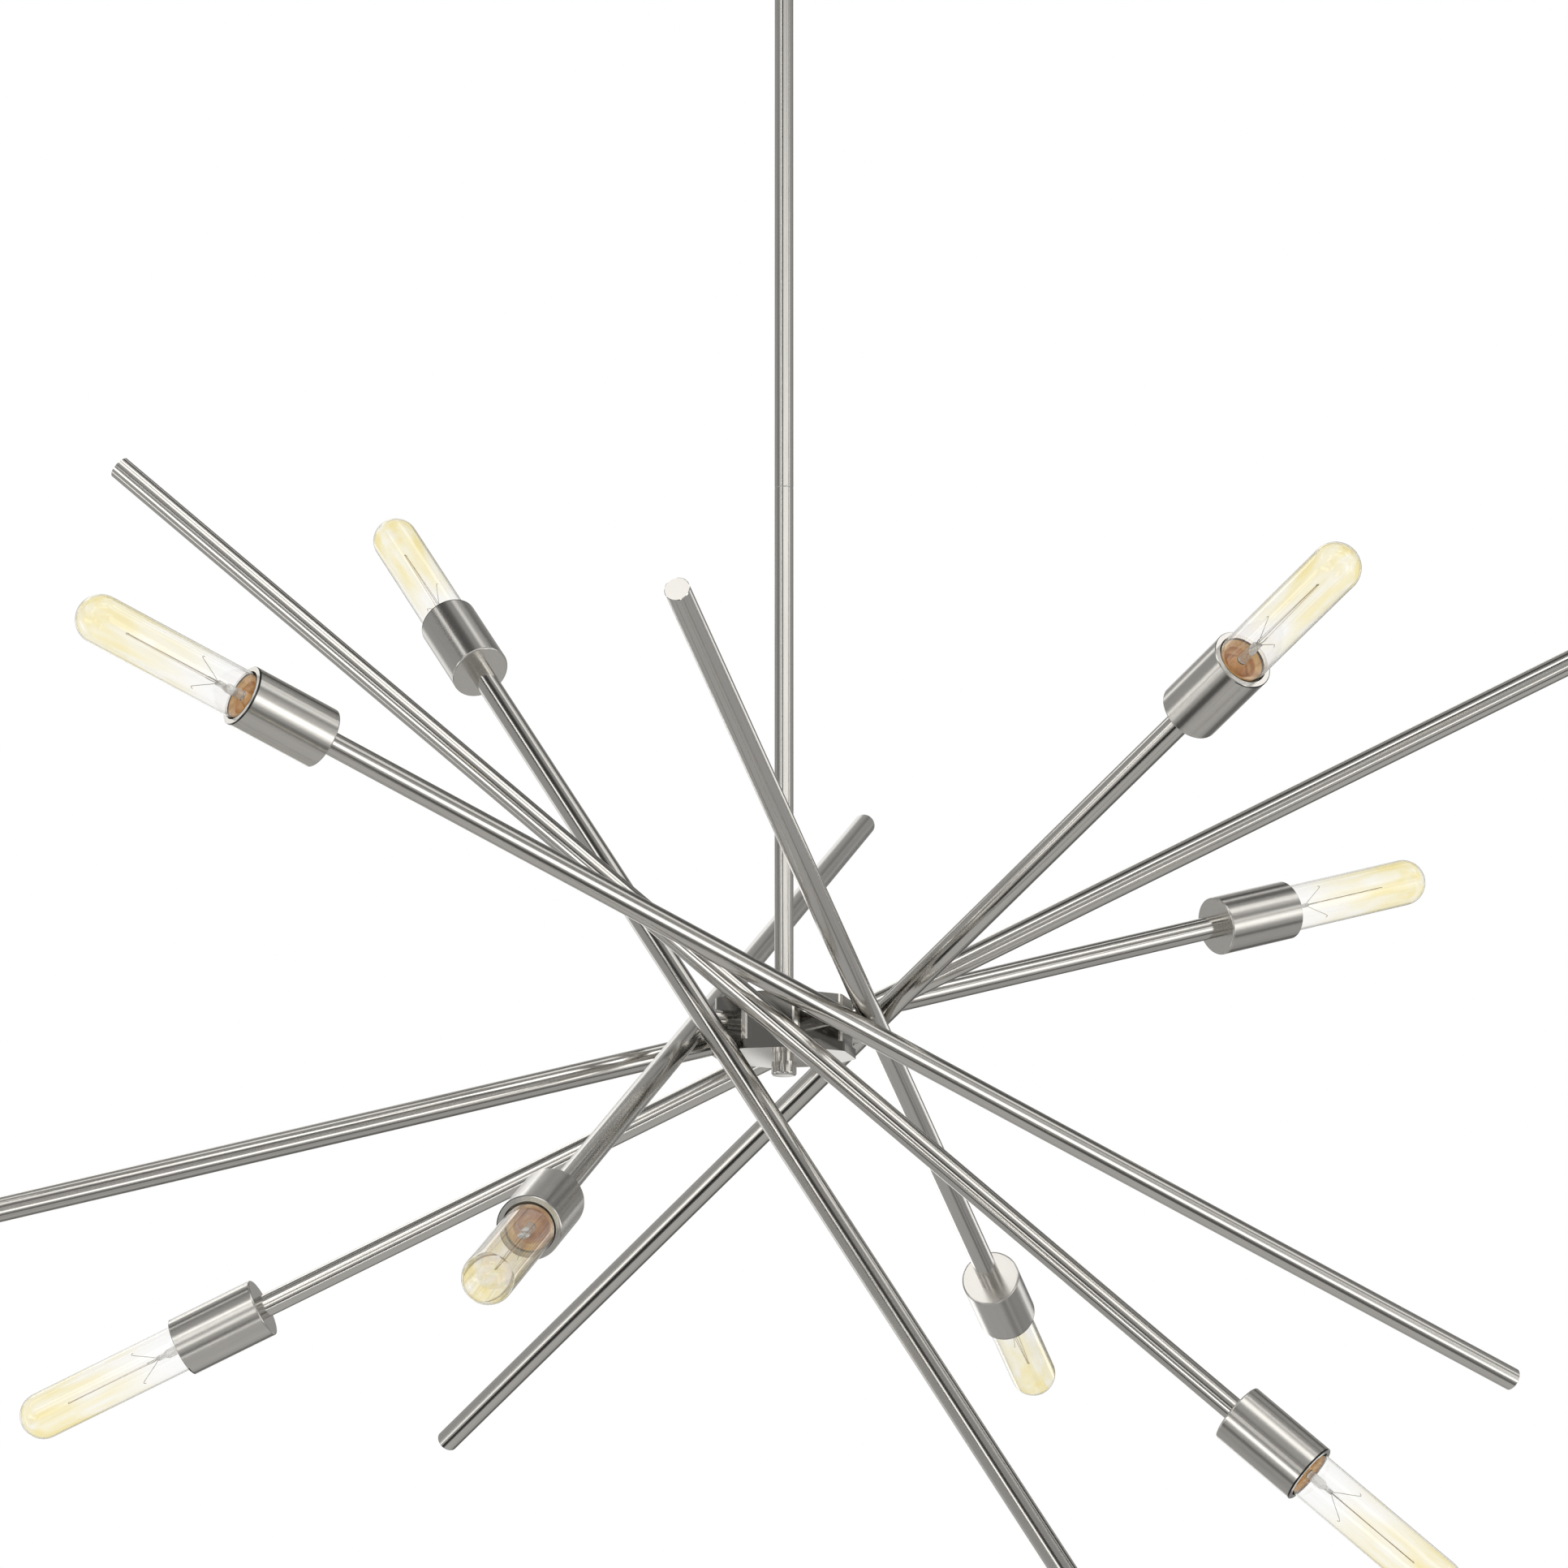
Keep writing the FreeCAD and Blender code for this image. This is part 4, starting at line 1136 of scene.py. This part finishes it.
def card_group():
    """A node group that lays one card over a level: it works in the card's own frame.

    With x, y and z the direction's parts along the card's right, forward and up, and x and z divided by
    the card's half sizes, the card covers max(|x|, |z|) / y < 1 with soft edges.
    """
    group = bpy.data.node_groups.new("studio_card", "ShaderNodeTree")
    for name in ("Direction", "Rotation", "Size"):
        group.interface.new_socket(name, in_out="INPUT", socket_type="NodeSocketVector")
    for name in ("Level", "Under"):
        group.interface.new_socket(name, in_out="INPUT", socket_type="NodeSocketFloat")
    group.interface.new_socket("Over", in_out="OUTPUT", socket_type="NodeSocketFloat")
    nodes = Nodes(group)
    source = nodes.add("NodeGroupInput").outputs
    local = nodes.add("ShaderNodeMapping", {"vector_type": "TEXTURE"}, Vector=source["Direction"],
                      Rotation=source["Rotation"], Scale=source["Size"]).outputs[0]
    x, y, z = nodes.add("ShaderNodeSeparateXYZ", Vector=local).outputs[:3]
    across = nodes.math("MAXIMUM", nodes.math("ABSOLUTE", x), nodes.math("ABSOLUTE", z))
    share = nodes.math("DIVIDE", across, nodes.math("MAXIMUM", y, 0.0001))
    cover = nodes.remap(share, CARD_EDGE, 1.0, 0.0, smooth=True)
    nodes.add("NodeGroupOutput", Over=nodes.blend(cover, source["Under"], source["Level"]))
    return group


def card_axes(card, camera_azimuth):
    """Right, forward and up of a card as seen from the hub, in the model's frame."""
    forward = bearing_line(camera_azimuth + math.radians(card.bearing), math.radians(card.height))
    right = forward.cross(Vector((0, 0, 1))).normalized()
    tilt = Matrix.Rotation(math.radians(card.turn), 3, forward)
    return tilt @ right, forward, tilt @ right.cross(forward)


def bearing_line(azimuth, height):
    """The unit vector from the hub towards an azimuth, 0 being -Y, and a height over level."""
    return Vector((math.sin(azimuth) * math.cos(height), -math.cos(azimuth) * math.cos(height),
                   math.sin(height)))


def make_world(studio):
    """White to the camera and through glass; to metal and for light, a grey room with boxes and cards."""
    world = bpy.data.worlds.new("studio_world")
    world.use_nodes = True
    nodes = Nodes(world.node_tree)
    direction = nodes.add("ShaderNodeTexCoord").outputs["Generated"]
    group = card_group()
    upness = nodes.add("ShaderNodeSeparateXYZ", Vector=direction).outputs[2]
    level = nodes.remap(upness, (-1.0, 1.0), studio.room_level * 1.25, studio.room_level * 0.95)
    for card in LIGHT_BOXES + BLACK_CARDS:
        turn = Matrix(card_axes(card, studio.azimuth)).transposed().to_euler("XYZ")
        half_size = (math.tan(math.radians(card.half_width)), 1.0, math.tan(math.radians(card.half_height)))
        level = nodes.add("ShaderNodeGroup", {"node_tree": group}, Direction=direction, Rotation=turn,
                          Size=half_size, Level=card.level, Under=level).outputs["Over"]
    room = nodes.add("ShaderNodeBackground", Color=ROOM_COLOUR, Strength=level).outputs[0]
    white = nodes.add("ShaderNodeBackground", Color=CLEAR, Strength=1.0).outputs[0]
    mixed = nodes.add("ShaderNodeMixShader", i0=nodes.seen(), i1=room, i2=white).outputs[0]
    nodes.add("ShaderNodeOutputWorld", Surface=mixed)
    bpy.context.scene.world = world


def floor_material(studio, radius):
    """A pale floor that the camera sees nearly white, open from below and fading out at its rim."""
    shader = Shader("pale_floor")
    colour = shader.colour_blend(shader.noise(shader.position, 3.0), scaled(studio.floor_colour, 0.985),
                                 scaled(studio.floor_colour))
    away = shader.round_axis(shader.position)[0]
    fade = shader.remap(away, (radius * 0.45, radius * 0.98), 0.0, 1.0, smooth=True)
    matt = shader.add("ShaderNodeBsdfDiffuse", Color=colour).outputs[0]
    white = shader.add("ShaderNodeEmission", Color=CLEAR, Strength=1.0).outputs[0]
    whiteness = shader.math("MULTIPLY", shader.seen(), 0.6)
    floor = shader.add("ShaderNodeMixShader", i0=whiteness, i1=matt, i2=white).outputs[0]
    below = shader.add("ShaderNodeNewGeometry").outputs["Backfacing"]
    clear = shader.add("ShaderNodeBsdfTransparent").outputs[0]
    gone = shader.math("MAXIMUM", fade, below)
    return shader.surface(shader.add("ShaderNodeMixShader", i0=gone, i1=floor, i2=clear).outputs[0])


def make_floor(studio):
    """A round floor as rings of points, far enough below the light to keep clear of it."""
    radius = 7.0
    rings = np.linspace(0, radius, 12)
    points, faces, uv = turned_arrays(np.stack([rings, np.full(12, -studio.floor_drop)], axis=-1), 64)
    floor = make_object("studio_floor", points, [face[::-1] for face in faces], uv)
    floor.data.materials.append(floor_material(studio, radius))
    floor.visible_glossy = False


def make_camera(studio):
    """The camera at the photograph's place: below the hub, far off, looking up a little."""
    data = bpy.data.cameras.new("photo_camera")
    data.lens = studio.lens
    data.sensor_width = 36.0
    data.clip_start = 0.1
    data.clip_end = 100.0
    camera = bpy.data.objects.new("photo_camera", data)
    camera.location = Vector(HUB_CENTRE) + bearing_line(studio.azimuth, studio.elevation) * studio.distance
    camera.rotation_euler = Euler((math.pi / 2 + studio.pitch, 0.0, studio.azimuth))
    bpy.context.scene.collection.objects.link(camera)
    bpy.context.scene.camera = camera


class CHANDELIER_OT_stage(Operator):
    """Make the camera, the pale floor, the studio's light and the plain view settings."""

    bl_idname = "chandelier.stage"
    bl_label = "Studio"

    def execute(self, context):
        studio = settings().studio
        make_camera(studio)
        make_floor(studio)
        make_world(studio)
        context.scene.view_settings.view_transform = "Standard"
        return {"FINISHED"}


class CHANDELIER_PT_panel(Panel):
    """The sidebar list of the chandelier's steps."""

    bl_idname = "CHANDELIER_PT_panel"
    bl_label = "Chandelier"
    bl_space_type = "VIEW_3D"
    bl_region_type = "UI"
    bl_category = "Chandelier"

    def draw(self, context):
        for step in STEPS:
            self.layout.operator(step.bl_idname)
        for group in (settings().nickel, settings().tint, settings().lamp, settings().studio):
            box = self.layout.box()
            for key in group.bl_rna.properties.keys():
                if key not in ("rna_type", "name"):
                    box.prop(group, key)


STEPS = (
    CHANDELIER_OT_stage,
    CHANDELIER_OT_ceiling,
    CHANDELIER_OT_stem,
    CHANDELIER_OT_hub,
    CHANDELIER_OT_arms,
    CHANDELIER_OT_sockets,
    CHANDELIER_OT_bulb_caps,
    CHANDELIER_OT_bulbs,
    CHANDELIER_OT_filaments,
)
GROUPS = (NickelSettings, TintSettings, LampSettings, StudioSettings, ChandelierSettings)


def register():
    """Makes the settings, the operators and the panel known."""
    for kind in GROUPS + STEPS + (CHANDELIER_PT_panel,):
        bpy.utils.register_class(kind)
    bpy.types.Scene.chandelier = PointerProperty(type=ChandelierSettings)


def unregister():
    """Takes the settings, the operators and the panel away again."""
    del bpy.types.Scene.chandelier
    for kind in reversed(GROUPS + STEPS + (CHANDELIER_PT_panel,)):
        bpy.utils.unregister_class(kind)


def main():
    """Runs every step in order."""
    register()
    bpy.ops.chandelier.stage()
    bpy.ops.chandelier.ceiling()
    bpy.ops.chandelier.stem()
    bpy.ops.chandelier.hub()
    bpy.ops.chandelier.arms()
    bpy.ops.chandelier.sockets()
    bpy.ops.chandelier.bulb_caps()
    bpy.ops.chandelier.bulbs()
    bpy.ops.chandelier.filaments()


if __name__ == "__main__":
    main()
